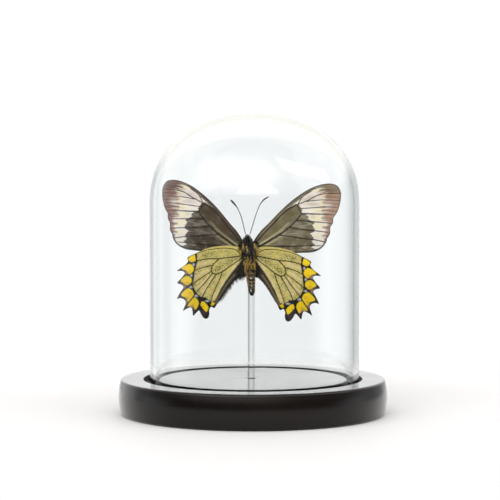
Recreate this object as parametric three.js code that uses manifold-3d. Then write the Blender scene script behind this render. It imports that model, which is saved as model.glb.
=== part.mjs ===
// A dried butterfly on a clear rod, under a glass dome that stands on a round black turned base.
// Millimetres, +Z up. The origin is the centre of the base's underside. The butterfly shows its
// underside towards -Y. Left and right are as seen from there, with +X to the right.
import * as THREE from "three";
import { mergeVertices } from "three/addons/utils/BufferGeometryUtils.js";
import Module from "manifold-3d";

const wasm = await Module();
wasm.setup();

// Clearance between pieces that touch in the real object.
const GAP = 0.3;
const ROUND_STEPS = 64;
const SMALL_ROUND_STEPS = 24;
const BODY_STEPS = 18;
const BODY_RINGS = 12;

// Base: a turned disc with a slightly bellied side, a ring groove and a drilled hole.
const BASE_RADIUS = 64;
const BASE_HEIGHT = 16.6;
const BASE_BELLY_HEIGHT = 8.6;
const BASE_SIDE_FALL = 1.2;
const BASE_SIDE_HEIGHTS = [5, BASE_BELLY_HEIGHT, 12.5];
const BASE_EDGE_ROUND = 0.6;
const BASE_FOOT_ROUND = 1.4;
const GROOVE_INNER_RADIUS = 44.75;
const GROOVE_OUTER_RADIUS = 52.05;
const GROOVE_DEPTH = 3.5;

// Dome: straight glass wall, then a cap that is a little fuller than half an ellipsoid.
const DOME_RADIUS = 49.8;
const DOME_WALL = 2.6;
const DOME_TOP = 143;
const DOME_SHOULDER = 100;
const DOME_FULLNESS = 2.15;
const DOME_OFFSET_X = 0.75;
const CAP_STEPS = 9;
const RIM_STEPS = 4;

// Rod: a straight clear acrylic rod that stands in the base.
const ROD_RADIUS = 1.65;
const ROD_X = -0.75;
const ROD_TOP = 79;
const ROD_HOLE_DEPTH = 10;

// Body of the butterfly: centre and half-size of the head and thorax, and the abdomen's line.
const HEAD = { centre: [-2.55, -5.4, 83.35], half: [2.3, 2.1, 2.15] };
const THORAX = { centre: [-1.85, -5.2, 76.6], half: [3.3, 2.95, 4.25] };
const ABDOMEN_LENGTH = 15.7;
const ABDOMEN_TOP = [-1.5, -5.0, 72.0];
const ABDOMEN_LEAN = THREE.MathUtils.degToRad(4);
// Radius at shares of the abdomen's length, from the thorax to the tip.
const ABDOMEN_RADII = [[0, 1.6], [0.06, 2.3], [0.25, 2.65], [0.5, 2.1], [0.8, 1.5], [0.94, 1.0], [1, 0]];

// Wings: thin blades. Each outline is [outward, upward] from the wing's own hinge.
const WING_THICKNESS = 0.4;
const FOREWING_EDGE_STEPS = 60;
const HINDWING_EDGE_STEPS = 100;
const FOREWING_OUTLINE = [
  [-0.1, -0.3], [0.9, 2.9], [4.6, 7.9], [10.9, 15.3], [16.4, 20.6], [21.7, 24.7], [25.8, 27.1],
  [30.3, 28.8], [34.6, 29.3], [37.7, 28.3], [39.3, 26], [39.7, 23.8], [39.3, 19.7], [38, 15.5],
  [36.5, 13.1], [36.3, 10.6], [35.1, 8.4], [35, 5.4], [33.8, 3.3], [33.3, 1.3], [31.5, -1.2],
  [29.1, -2.8], [26.6, -3.6], [23.6, -3.9], [14, -4.2], [3, -2.6],
];
const HINDWING_OUTLINE = [
  [0.3, 2.9], [2.7, 3.6], [7.6, 3.7], [12.5, 3.1], [17.2, 1.8], [21.6, -0.4], [25.9, -2.7],
  [25.7, -4.6], [27.6, -6.8], [30.9, -9.3], [28.3, -9.3], [27.1, -10.3], [28.6, -12.6],
  [30.7, -15.1], [28.6, -15.8], [27.6, -17.1], [29, -19.5], [30.5, -22.6], [28.7, -22.3],
  [26.8, -23], [26.2, -24.7], [27, -26.9], [27.3, -28.3], [25.7, -27.3], [23.5, -26.5],
  [22.7, -28.2], [22.3, -30.3], [20.9, -28.9], [19.5, -27.7], [18.5, -29.3], [17.4, -30.9],
  [16.1, -31.5], [14.9, -30.8], [14.4, -29], [14.5, -27.2], [13.6, -25.6], [12, -26.1],
  [10.5, -23.3], [8.8, -20.7], [6.2, -16.7], [3.4, -12.9], [0.9, -9.8], [-0.9, -6.6],
];
const SWING = THREE.MathUtils.degToRad(2);
const LEFT = { side: -1, back: THREE.MathUtils.degToRad(10) };
const RIGHT = { side: 1, back: THREE.MathUtils.degToRad(3) };
const FOREWING_HINGES = { left: [-5.4, -3.2, 80.8], right: [1.4, -3.2, 81.4] };
const HINDWING_HINGES = { left: [-5.4, -4, 76.1], right: [1.7, -4, 76.1] };

// Antennae: slender, bent outwards at the top.
const ANTENNA_RADIUS = 0.3;
const ANTENNA_SIDES = 6;
const ANTENNA_STEPS = 12;
const ANTENNA_LEFT = [[-3.5, 85.7], [-4.4, 89.5], [-5.6, 94.2], [-7.3, 98], [-8.9, 100.1], [-10.6, 101.9]];
const ANTENNA_RIGHT = [
  [-1.4, 85.7], [-0.2, 89.5], [1.2, 94.2], [2.6, 98], [3.8, 100.3], [5.5, 102.2], [7.6, 103.4],
];
const ANTENNA_Y = -6;

// Legs: each lies folded on the thorax. Their bends are [turn from the front, rise] in degrees.
const LEG_RADIUS = 0.25;
const LEG_STEPS = 8;
const LEG_SIDES = 7;
const LEG_BENDS = {
  front: [[12, 60], [46, 44], [20, 26]],
  middle: [[12, 14], [54, 2], [24, -16]],
  hind: [[12, -28], [58, -38], [26, -60]],
};

function material(name, color, roughness, extra = {}) {
  return new THREE.MeshStandardMaterial({ name, color, roughness, metalness: 0, ...extra });
}

function piece(name, geometry, finish) {
  const mesh = new THREE.Mesh(geometry, finish);
  mesh.name = name;
  return mesh;
}

// A solid of revolution about +Z from [radius, height] pairs.
function turned(profile, steps = ROUND_STEPS) {
  const points = profile.map(([radius, height]) => new THREE.Vector2(radius, height));
  return new THREE.LatheGeometry(points, steps).rotateX(Math.PI / 2);
}

function toSolid(geometry) {
  const bare = geometry.clone();
  bare.deleteAttribute("normal");
  bare.deleteAttribute("uv");
  const merged = mergeVertices(bare, 1e-4);
  const vertProperties = merged.attributes.position.array;
  const triVerts = new Uint32Array(merged.index.array);
  return new wasm.Manifold(new wasm.Mesh({ numProp: 3, vertProperties, triVerts }));
}

function toGeometry(solid) {
  const { vertProperties, triVerts } = solid.getMesh();
  const geometry = new THREE.BufferGeometry();
  geometry.setAttribute("position", new THREE.BufferAttribute(vertProperties, 3));
  geometry.setIndex(new THREE.BufferAttribute(triVerts, 1));
  return geometry;
}

// ---- Base ----

function baseSideRadius(height) {
  const reach = BASE_HEIGHT - BASE_BELLY_HEIGHT;
  return BASE_RADIUS - BASE_SIDE_FALL * ((height - BASE_BELLY_HEIGHT) / reach) ** 2;
}

function baseGeometry() {
  const floor = BASE_HEIGHT - GROOVE_DEPTH;
  const profile = [[0, 0], [baseSideRadius(0) - BASE_FOOT_ROUND, 0]];
  for (const height of [BASE_FOOT_ROUND, ...BASE_SIDE_HEIGHTS, BASE_HEIGHT - BASE_EDGE_ROUND]) {
    profile.push([baseSideRadius(height), height]);
  }
  profile.push([baseSideRadius(BASE_HEIGHT) - BASE_EDGE_ROUND, BASE_HEIGHT]);
  profile.push([GROOVE_OUTER_RADIUS, BASE_HEIGHT], [GROOVE_OUTER_RADIUS, floor]);
  profile.push([GROOVE_INNER_RADIUS, floor], [GROOVE_INNER_RADIUS, BASE_HEIGHT], [0, BASE_HEIGHT]);
  const drill = ROD_RADIUS + GAP;
  const hole = new THREE.CylinderGeometry(drill, drill, 2 * ROD_HOLE_DEPTH, SMALL_ROUND_STEPS);
  hole.rotateX(Math.PI / 2);
  hole.translate(ROD_X, 0, BASE_HEIGHT);
  return toGeometry(toSolid(turned(profile)).subtract(toSolid(hole)));
}

// ---- Glass dome: the open end of the bell stands in the base's groove ----

function capProfile(radius, rise, fromTop) {
  const points = [];
  for (let i = 0; i <= CAP_STEPS; i++) {
    const angle = (Math.PI / 2) * (fromTop ? 1 - i / CAP_STEPS : i / CAP_STEPS);
    const across = i === (fromTop ? 0 : CAP_STEPS) ? 0 : Math.cos(angle) ** (2 / DOME_FULLNESS);
    const up = Math.sin(angle) ** (2 / DOME_FULLNESS);
    points.push([radius * across, DOME_SHOULDER + rise * up]);
  }
  return points;
}

function domeGeometry() {
  const rise = DOME_TOP - DOME_SHOULDER;
  const rimRadius = DOME_WALL / 2;
  const rimCentre = DOME_RADIUS - rimRadius;
  const rimHeight = BASE_HEIGHT - GROOVE_DEPTH + GAP + rimRadius;
  const profile = capProfile(DOME_RADIUS - DOME_WALL, rise - DOME_WALL, true);
  for (let i = 0; i <= RIM_STEPS; i++) {
    const angle = Math.PI + (Math.PI * i) / RIM_STEPS;
    profile.push([rimCentre + rimRadius * Math.cos(angle), rimHeight + rimRadius * Math.sin(angle)]);
  }
  profile.push(...capProfile(DOME_RADIUS, rise, false));
  return turned(profile);
}

// ---- Rod ----

function rodGeometry() {
  const foot = BASE_HEIGHT - ROD_HOLE_DEPTH + GAP;
  const rod = new THREE.CylinderGeometry(ROD_RADIUS, ROD_RADIUS, ROD_TOP - foot, SMALL_ROUND_STEPS);
  return rod.rotateX(Math.PI / 2).translate(0, 0, (ROD_TOP + foot) / 2);
}

// ---- Butterfly's body ----

function ellipsoid({ centre, half }, grow = 0) {
  const ball = new THREE.SphereGeometry(1, BODY_STEPS, BODY_RINGS).rotateX(Math.PI / 2);
  ball.scale(half[0] + grow, half[1] + grow, half[2] + grow);
  return ball.translate(...centre);
}

function abdomenGeometry(grow = 0) {
  const profile = ABDOMEN_RADII.map(([share, radius]) => [
    radius ? radius + grow : 0,
    -share * (ABDOMEN_LENGTH + grow),
  ]);
  const closed = [...profile.reverse(), [0, 0]];
  return turned(closed, BODY_STEPS).rotateY(-ABDOMEN_LEAN).translate(...ABDOMEN_TOP);
}

// ---- Wings ----

function wing(name, outline, edgeSteps, { side, back }, hinge, finish) {
  const edge = new THREE.SplineCurve(outline.map(([out, up]) => new THREE.Vector2(side * out, up)));
  const shape = new THREE.Shape(edge.getPoints(edgeSteps));
  const blade = new THREE.ExtrudeGeometry(shape, { depth: WING_THICKNESS, bevelEnabled: false });
  blade.translate(0, 0, -WING_THICKNESS / 2).rotateX(Math.PI / 2);
  const mesh = piece(name, blade, finish);
  mesh.position.set(...hinge);
  mesh.rotation.set(0, SWING, side * back, "ZYX");
  mesh.updateMatrix();
  const toWing = mesh.matrix.clone().invert();
  let solid = toSolid(blade);
  for (const body of [ellipsoid(THORAX, GAP), abdomenGeometry(GAP)]) {
    solid = solid.subtract(toSolid(body.applyMatrix4(toWing)));
  }
  mesh.geometry = toGeometry(solid);
  return mesh;
}

// ---- Antennae and legs: round tubes along smooth paths ----

function circle(radius, sides) {
  const shape = new THREE.Shape();
  for (let i = 0; i < sides; i++) {
    const angle = (2 * Math.PI * i) / sides;
    const point = [radius * Math.cos(angle), radius * Math.sin(angle)];
    if (i) shape.lineTo(...point);
    else shape.moveTo(...point);
  }
  return shape;
}

function tube(points, radius, sides, steps) {
  const extrudePath = new THREE.CatmullRomCurve3(points);
  return new THREE.ExtrudeGeometry(circle(radius, sides), { extrudePath, steps, bevelEnabled: false });
}

function antenna(name, route, finish) {
  const points = route.map(([x, z]) => new THREE.Vector3(x, ANTENNA_Y, z));
  return piece(name, tube(points, ANTENNA_RADIUS, ANTENNA_SIDES, ANTENNA_STEPS), finish);
}

// A point that floats over the thorax, turned from the front towards +X and raised, in degrees.
function overThorax(turn, rise, lift) {
  const [cx, cy, cz] = THORAX.centre;
  const [hx, hy, hz] = THORAX.half;
  const t = THREE.MathUtils.degToRad(turn);
  const r = THREE.MathUtils.degToRad(rise);
  return new THREE.Vector3(
    cx + (hx + lift) * Math.cos(r) * Math.sin(t),
    cy - (hy + lift) * Math.cos(r) * Math.cos(t),
    cz + (hz + lift) * Math.sin(r),
  );
}

function leg(name, bends, side, finish) {
  const points = bends.map(([turn, rise]) => overThorax(side * turn, rise, 2 * GAP + LEG_RADIUS));
  return piece(name, tube(points, LEG_RADIUS, LEG_SIDES, LEG_STEPS), finish);
}

// ---- Assembly ----

const blackWood = material("black_wood", 0x18181a, 0.35);
const clearGlass = material("clear_glass", 0xeef4f4, 0.03, { transparent: true, opacity: 0.2 });
const clearAcrylic = material("clear_acrylic", 0xf2f5f2, 0.06, { transparent: true, opacity: 0.4 });
const bodyFur = material("body_fur", 0x2c2415, 0.8);
const forewingScales = material("forewing_scales", 0x554c40, 0.7);
const hindwingScales = material("hindwing_scales", 0xa69c55, 0.7);
const darkHorn = material("dark_horn", 0x1d1a17, 0.5);

const part = new THREE.Group();
const dome = piece("glass_dome", domeGeometry(), clearGlass);
dome.position.x = DOME_OFFSET_X;
const rod = piece("rod", rodGeometry(), clearAcrylic);
rod.position.x = ROD_X;
part.add(piece("base", baseGeometry(), blackWood), dome, rod);

const butterfly = new THREE.Group();
butterfly.add(
  piece("head", ellipsoid(HEAD), bodyFur),
  piece("thorax", ellipsoid(THORAX), bodyFur),
  piece("abdomen", abdomenGeometry(), bodyFur),
  antenna("antenna_left", ANTENNA_LEFT, darkHorn),
  antenna("antenna_right", ANTENNA_RIGHT, darkHorn),
);
for (const [suffix, pose] of [["left", LEFT], ["right", RIGHT]]) {
  const fore = [`forewing_${suffix}`, FOREWING_OUTLINE, FOREWING_EDGE_STEPS];
  const hind = [`hindwing_${suffix}`, HINDWING_OUTLINE, HINDWING_EDGE_STEPS];
  butterfly.add(wing(...fore, pose, FOREWING_HINGES[suffix], forewingScales));
  butterfly.add(wing(...hind, pose, HINDWING_HINGES[suffix], hindwingScales));
  for (const [pair, bends] of Object.entries(LEG_BENDS)) {
    butterfly.add(leg(`leg_${pair}_${suffix}`, bends, pose.side, darkHorn));
  }
}
part.add(butterfly);

export default part;
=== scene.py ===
"""A dried butterfly on a clear rod, under a glass dome on a round black turned base.

Shapes are worked out in millimetres in the frame's own axes and turned into metres when a mesh is made.
Wings are drawn in a flat wing frame: [outward, upward] from each wing's own hinge.
"""

import math

import bpy
import numpy as np
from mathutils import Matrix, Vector
from mathutils.geometry import delaunay_2d_cdt


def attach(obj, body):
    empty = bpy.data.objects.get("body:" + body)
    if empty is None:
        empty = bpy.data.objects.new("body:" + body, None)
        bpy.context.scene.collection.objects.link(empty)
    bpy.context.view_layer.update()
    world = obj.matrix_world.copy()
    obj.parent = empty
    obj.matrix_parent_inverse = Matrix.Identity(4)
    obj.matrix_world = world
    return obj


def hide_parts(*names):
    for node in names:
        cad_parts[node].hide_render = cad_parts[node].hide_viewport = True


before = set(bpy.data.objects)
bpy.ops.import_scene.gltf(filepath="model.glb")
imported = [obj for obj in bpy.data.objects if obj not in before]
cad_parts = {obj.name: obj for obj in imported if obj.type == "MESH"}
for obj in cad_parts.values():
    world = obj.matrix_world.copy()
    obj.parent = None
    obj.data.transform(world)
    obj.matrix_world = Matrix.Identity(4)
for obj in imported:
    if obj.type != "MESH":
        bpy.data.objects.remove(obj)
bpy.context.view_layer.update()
MM = 0.001

# ---------------------------------------------------------------- sizes, in millimetres

# Steps round each lathed piece.
BASE_STEPS = 192
DOME_STEPS = 240
ROD_STEPS = 64

BASE_RADIUS = 64
BASE_HEIGHT = 16.6
BASE_BELLY_HEIGHT = 8.6
BASE_SIDE_FALL = 1.2
BASE_EDGE_ROUND = 1.3
BASE_FOOT_ROUND = 1.4
GROOVE_INNER_RADIUS = 44.75
GROOVE_OUTER_RADIUS = 52.05
GROOVE_DEPTH = 3.5
GROOVE_EDGE_ROUND = 0.3
HOLE_RADIUS = 1.95
HOLE_FLOOR = 6.6
HOLE_EDGE_ROUND = 0.25

DOME_RADIUS = 49.8
DOME_WALL = 2.6
DOME_TOP = 143
DOME_SHOULDER = 100
DOME_FULLNESS = 2.15
DOME_OFFSET_X = 0.75
DOME_RIM_LOW = 13.4

ROD_RADIUS = 1.65
ROD_X = -0.75
ROD_TOP = 79
ROD_FOOT = 6.9
ROD_EDGE_ROUND = 0.3

HEAD_CENTRE = np.array([-2.55, -5.4, 83.35])
HEAD_HALF = np.array([2.3, 2.1, 2.15])
THORAX_CENTRE = np.array([-1.85, -5.2, 76.6])
THORAX_HALF = np.array([3.3, 2.95, 4.25])
NECK_CENTRE = np.array([-2.3, -5.0, 81.1])
NECK_HALF = np.array([2.1, 1.7, 1.5])
BREAST_PLATE = np.array([-1.8, -8.15, 76.7])
GLUE_CENTRE = np.array([-1.2, -1.95, 76.3])
GLUE_HALF = np.array([1.35, 0.62, 1.9])
ABDOMEN_TOP = np.array([-1.5, -5.0, 72.0])
ABDOMEN_LENGTH = 15.7
ABDOMEN_LEAN = math.radians(4)
# Share of the abdomen's length, and radius.
ABDOMEN_RADII = [
    [0, 1.6], [0.06, 2.3], [0.25, 2.6], [0.5, 2.12], [0.7, 1.82], [0.82, 1.6], [0.91, 1.2],
    [0.97, 0.65], [1, 0],
]

SEGMENT_EDGES = [0.07, 0.2, 0.33, 0.46, 0.585, 0.69, 0.785, 0.9]
# Pale beads down the middle of the abdomen; the first row is a painted glint and the last a painted highlight
# near the tip. Share of its length, turn from the front, half-sizes.
BEADS_AND_GLINTS = [
    [0.262, 0.14, 0.028, 0.1], [0.457, 0.1, 0.022, 0.34], [0.592, 0.12, 0.016, 0.24],
    [0.667, 0.0, 0.014, 0.22], [0.712, 0.12, 0.014, 0.22], [0.832, -0.2, 0.05, 0.36],
]

# Each wing's side, the degrees it is folded back and its hinge. All swing alike in their own plane.
SWING = math.radians(2)
WINGS = {
    "forewing_left": {"side": -1, "back": 10, "hinge": [-5.4, -3.2, 80.8]},
    "forewing_right": {"side": 1, "back": 3, "hinge": [1.4, -3.2, 81.4]},
    "hindwing_left": {"side": -1, "back": 10, "hinge": [-5.4, -4.0, 76.1]},
    "hindwing_right": {"side": 1, "back": 3, "hinge": [1.7, -4.0, 76.1]},
}
FOREWINGS = ("forewing_left", "forewing_right")

FOREWING_OUTLINE = [
    [-1.2, -1.0], [-0.7, 1.5], [2.3, 5.9], [5.6, 9.4], [10.9, 15.3], [16.4, 20.6], [21.7, 24.7], [25.8, 27.1],
    [30.3, 28.8], [34.6, 29.3], [37.7, 28.3], [39.3, 26], [39.7, 23.8], [39.3, 19.7], [38, 15.5],
    [36.5, 13.1], [36.3, 10.6], [35.1, 8.4], [35, 5.4], [33.8, 3.3], [33.3, 1.3], [31.5, -1.2],
    [29.1, -2.8], [26.6, -3.6], [23.6, -3.9], [14, -4.2], [3, -2.6],
]
# The hindwing's inner edge carries a soft dark flap that reaches behind the abdomen.
HINDWING_OUTLINE = [
    [0.3, 2.9], [2.7, 3.6], [7.6, 3.7], [12.5, 3.1], [17.2, 1.8], [21.6, -0.4], [25.9, -2.7],
    [25.7, -4.6], [27.6, -6.8], [30.9, -9.3], [28.3, -9.3], [27.1, -10.3], [28.6, -12.6],
    [30.7, -15.1], [28.6, -15.8], [27.6, -17.1], [29, -19.5], [30.5, -22.6], [28.7, -22.3],
    [26.8, -23], [26.2, -24.7], [27, -26.9], [27.3, -28.3], [25.7, -27.3], [23.5, -26.5],
    [22.7, -28.2], [22.3, -30.3], [20.9, -28.9], [19.5, -27.7], [18.5, -29.3], [17.4, -30.9],
    [16.1, -31.5], [14.9, -30.8], [14.4, -29], [14.5, -27.2], [13.6, -25.6], [12, -26.1],
    [10.5, -23.3], [8.8, -20.7], [6.2, -16.7], [3.4, -13.1], [1.2, -11.3], [-1.2, -10.9],
    [-2.5, -9.6], [-2.4, -6.4], [-1.2, -2.0],
]
INNER_MARGIN = [
    [13.2, -25.4], [10.5, -23.3], [8.8, -20.7], [6.2, -16.7], [3.4, -13.1], [1.2, -11.3], [-1.2, -10.9],
    [-2.3, -9.6],
]

# Veins: name, half-width of the dark line at its two ends, and the points it passes.
FOREWING_VEINS = [
    ["costa_cell", 0.28, 0.24, [[0.2, 0.6], [4.5, 5.5], [8.8, 10.3], [13.2, 15.1], [18.6, 18.7]]],
    ["cell_end", 0.2, 0.22, [[18.8, 18.7], [19.8, 16.6], [21.1, 14.6]]],
    ["cubitus", 0.52, 0.24, [[1.2, -1.6], [2.3, -1.3], [7.6, 2.1], [12.7, 5.5], [17.3, 9.7], [21.1, 14.5]]],
    ["radius_3", 0.22, 0.16, [[19.3, 19.3], [21.2, 22.4], [23.9, 24.8], [27.1, 26.6], [30.6, 27.8]]],
    ["radius_4", 0.24, 0.2, [[19.5, 19], [24.2, 21.1], [28.7, 23.6], [33.8, 24.5], [39, 24.7]]],
    ["radius_5", 0.2, 0.2, [[23.2, 20.4], [27.1, 21], [31.1, 21.4], [35.1, 21.4], [39.1, 21.3]]],
    ["media_1", 0.2, 0.2, [[20.4, 16.9], [25.2, 17.4], [29.5, 17.8], [33.8, 18.1], [38.1, 18.1]]],
    ["media_2", 0.36, 0.2, [[21.1, 14.6], [25.3, 14.6], [29.4, 14.6], [33.5, 14.6], [37.6, 14.4]]],
    ["media_3", 0.24, 0.24, [[18.7, 11.2], [23.1, 11.2], [27.5, 10.9], [31.8, 10.7], [36.2, 10.3]]],
    ["cubitus_1", 0.24, 0.24, [[15.6, 7.9], [20.4, 7.2], [25.2, 6.8], [30, 6.5], [34.8, 6]]],
    ["cubitus_2", 0.26, 0.24, [[10.8, 4.1], [16.4, 3.5], [22, 2.9], [27.6, 2.4], [33.1, 1.4]]],
    ["anal", 0.34, 0.18, [[2.3, -1.3], [9.4, -1.3], [16.5, -1.1], [23.6, -0.6], [30.7, -0.3]]],
    ["radius_1", 0.16, 0.12, [[8.8, 10.8], [15, 16.9], [20.6, 22.1], [25.4, 25.3]]],
]
# How the veins, and the two long edges, follow each other across the forewing, at each one's two ends.
VEIN_ORDER = {
    "costa_cell": [6, 8], "cell_end": [8, 4.4], "cubitus": [1, 4.2], "radius_3": [8, 8.4],
    "radius_4": [7.8, 7], "radius_5": [6.6, 6.2], "media_1": [5.4, 5.2], "media_2": [4.3, 4.2],
    "media_3": [3.4, 3.3],
    "cubitus_1": [2.7, 2.4], "cubitus_2": [1.8, 1.5], "anal": [0.4, 0.5], "radius_1": [7.4, 8.8],
}
EDGE_ORDER = [
    [[8, 9.6], [[0.9, 2.9], [4.6, 7.9], [10.9, 15.3], [16.4, 20.6], [25.8, 27.1], [34.6, 29.3]]],
    [[-0.6, -0.6], [[3, -2.6], [14, -4.2], [23.6, -3.9], [29.1, -2.8]]],
]
HINDWING_VEINS = [
    ["subcosta", 0.26, 0.12, [
        [0.7, 0], [1.9, 1.4], [4.1, 2.3], [8.3, 2.5], [12.6, 2], [16.8, 1.2], [20.5, -0.3],
    ]],
    ["humeral", 0.2, 0.14, [[0.2, 1.2], [0.9, 1.9], [2.0, 2.4]]],
    ["radial_sector", 0.3, 0.14, [
        [0.5, -0.9], [5.7, -1.8], [10.9, -2.6], [16.2, -2.9], [21.6, -4.3], [24.7, -5.5], [27.6, -6.7],
        [30.5, -8.9],
    ]],
    ["cell_end", 0.24, 0.26, [
        [10.7, -2.8], [13.1, -5.2], [14.2, -7.4], [13.9, -9], [12.9, -9.8], [11.3, -9.9], [8.9, -8.7],
    ]],
    ["cell_low", 0.24, 0.24, [[-0.2, -1.8], [2, -3.6], [4.3, -5.3], [6.6, -7], [8.9, -8.7]]],
    ["media_1", 0.22, 0.16, [
        [13.6, -5.9], [18.1, -7.1], [22.1, -8.8], [24, -10.6], [26.7, -11.3], [28.8, -13.2], [30.3, -14.8],
    ]],
    ["media_2", 0.22, 0.18, [
        [14.1, -8.8], [18.9, -12.1], [23.4, -15.6], [25.3, -17], [27.9, -19.1], [30.1, -22.2],
    ]],
    ["media_3", 0.24, 0.2, [
        [13.5, -9.6], [17.5, -14.8], [21.5, -19.6], [23.6, -23], [25.5, -25.2], [27.1, -27.8],
    ]],
    ["cubitus_1", 0.24, 0.2, [
        [11.7, -9.9], [13.4, -12.6], [15.1, -15.4], [16.8, -18.4], [18.3, -21.8], [19.3, -25.2],
        [20.6, -27.6], [22, -29.9],
    ]],
    ["cubitus_2", 0.24, 0.16, [
        [8.8, -8.8], [10, -12.3], [11.7, -16.2], [12.9, -19.4], [13.7, -22], [14.1, -25.6],
    ]],
]

# Forewing markings.
DISCAL_CELL = [
    [0, 0.4], [4.5, 5.2], [8.8, 10], [13.2, 14.9], [18.4, 18.4], [19.8, 16.2], [20.6, 14.6], [16.8, 10],
    [12.3, 6.1], [7.2, 2.6],
]
PALE_BAND = [
    [14.4, 16.9], [18.0, 18.9], [19.4, 18.9], [20.6, 17.4], [21.4, 16.2], [20.9, 15.1], [22.6, 14.4],
    [24.5, 13.2], [24.2, 12.2], [26.6, 10.9], [27.4, 10.4], [26.3, 9.1], [27.9, 7.1], [27.4, 6.4],
    [25.7, 5.2], [27.4, 3.1], [26.5, 1.5], [27.9, 0], [26.2, -1.3], [28.6, -2.2], [31.6, -0.6],
    [40, 5], [42, 24], [38, 30], [30, 28.6], [24.5, 25.4], [19.4, 21.3],
]
# Height on the wing, then where the outer brown starts and where it is full.
BROWN_EDGE = [[-2, 32.4, 33.4], [0.5, 32.0, 33.0], [4.3, 32.6, 34.2], [8.5, 32.0, 34.2], [12.4, 31.0, 34.8],
              [16.5, 30.0, 36.2], [20, 29.8, 36.2], [23, 30.5, 36.4], [26.2, 28.6, 33.6], [29, 27.0, 31.5]]
BROWN_RAYS = [
    [[29.6, 26.1], [36.5, 26.1]], [[32.8, 23], [38.6, 22.9]], [[31.6, 19.8], [38.6, 19.7]],
    [[31.2, 16.3], [37.8, 16.2]], [[31.2, 12.6], [36.4, 12.4]], [[31.6, 8.5], [35.2, 8.4]],
    [[31.6, 4.4], [33.8, 4.3]],
]
# Soft smudges: centre, and half-size outward and upward.
CREAM_SMUDGES = [
    [[28.6, 26.0], [2.6, 1.1]], [[31.8, 22.9], [1.8, 1.3]], [[31.4, 19.8], [1.8, 1.3]],
    [[29.6, 16.3], [3.0, 1.5]],
    [[29.0, 12.6], [3.0, 1.6]], [[29.6, 8.8], [2.4, 1.5]], [[30.0, 4.6], [1.6, 1.0]],
]
MIST_SMUDGES = [
    [[20.5, 8.8], [5.5, 1.6]], [[19.0, 5.4], [5.5, 1.2]], [[13.6, 3.9], [3.2, 0.9]],
    [[22.0, 12.6], [3.0, 1.0]],
]
LILAC_SMUDGES = [
    [[25.2, 22.2], [3.0, 1.2]], [[26.0, 19.2], [4.2, 1.0]], [[22.4, 21.2], [2.2, 1.0]],
    [[26.6, 13.2], [1.6, 0.9]],
]
BUFF_STREAKS = [
    [[2.2, -0.5], [7.4, 3.2], [12.3, 6.9], [15.2, 10.0]], [[2.8, -1.9], [6.6, 0.1], [10.6, 2.6], [13.6, 4.9]],
]

# Hindwing markings.
YELLOW_SPOTS = [
    [[25.6, -3.1], [22.9, -1.3], [22.1, -2.2], [22.1, -4.3], [23.2, -5.0], [24.7, -4.7]],
    [[28.7, -8.2], [25.6, -5.8], [23.9, -6.1], [22.7, -7.7], [23.2, -9.6], [24.9, -10.7], [26.3, -9.2]],
    [[29.0, -13.9], [26.8, -11.7], [25.1, -11.6], [23.6, -12.9], [23.8, -14.6], [25.7, -16.0], [27.2, -15.2]],
    [[28.6, -20.9], [27.0, -18.5], [25.4, -17.4], [23.4, -18.1], [22.3, -20.0], [23.4, -22.0], [24.9, -23.8],
     [26.1, -22.0]],
    [[25.2, -25.8], [22.7, -21.9], [20.7, -22.1], [19.7, -24.2], [20.5, -26.4], [21.4, -27.4], [22.6, -26.0]],
    [[18.9, -25.0], [18.4, -23.5], [17.3, -23.3], [15.0, -25.6], [15.4, -27.6], [16.1, -28.0], [17.6, -26.6]],
    [[14.0, -24.5], [13.0, -23.4], [11.9, -24.0], [12.8, -25.0]],
]
ORANGE_SMUDGES = [
    [[24.9, -9.6], [1.0, 0.9]], [[25.6, -14.9], [1.0, 0.8]], [[24.0, -19.8], [0.8, 0.9]],
    [[25.2, -21.9], [0.9, 0.9]],
    [[22.6, -25.4], [0.9, 0.8]], [[17.9, -25.7], [0.6, 0.7]], [[12.7, -24.4], [0.8, 0.5]],
    [[24.3, -4.3], [0.8, 0.4]],
]
BLUE_SPOTS = [[[22.9, -6.0], [0.5, 0.65]], [[23.8, -11.1], [0.5, 0.75]], [[24.0, -16.7], [0.75, 0.5]],
              [[21.2, -20.8], [0.9, 0.5]], [[15.7, -23.0], [0.9, 0.4]], [[11.9, -25.1], [0.6, 0.4]]]
PINK_NOTCHES = [[[26.7, -10.3], [1.5, 1.1]], [[27.0, -16.6], [1.5, 1.3]], [[26.0, -23.8], [1.2, 1.3]],
                [[23.2, -26.3], [1.3, 0.9]]]
OLIVE_FIELD = [
    [-1.2, 3.4], [5, 4.3], [12, 3.8], [18.3, 1.6], [21.5, -0.5], [21.2, -4.8], [21.9, -7.6], [22.3, -9.6],
    [22.4, -12.4], [23.2, -14.9], [22.7, -16.6], [21.2, -19.2], [18.9, -21.1], [16.6, -21.5], [15.0, -22.3],
    [13.4, -23.6], [11.9, -22.9], [9.6, -17.7], [6.9, -12.8], [3.6, -8.1], [0.3, -3.6], [-1.2, -1.5],
]
PALE_RAYS = [
    [[1.6, -3.4], [5.5, -9.2], [9.5, -16.0], [12.4, -21.6]], [[15.5, -4.6], [21.2, -6.0]],
    [[16.0, -8.2], [22.2, -12.2]], [[15.4, -11.8], [20.6, -17.4]], [[13.9, -12.2], [17.6, -18.6]],
]
SPECKLED_STRIPS = [
    [[3.0, 0.6], [8.0, 1.1], [13.5, 0.2], [18.8, -1.6]],
    [[2.6, -2.4], [6.0, -4.0], [9.6, -6.2], [12.2, -8.2]],
]
FOLD_STRIPE = [[3.0, -9.9], [6.6, -14.8], [9.4, -19.6], [11.6, -23.6]]

ANTENNA_Y = -6
ANTENNA_STEP = 0.09
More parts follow.
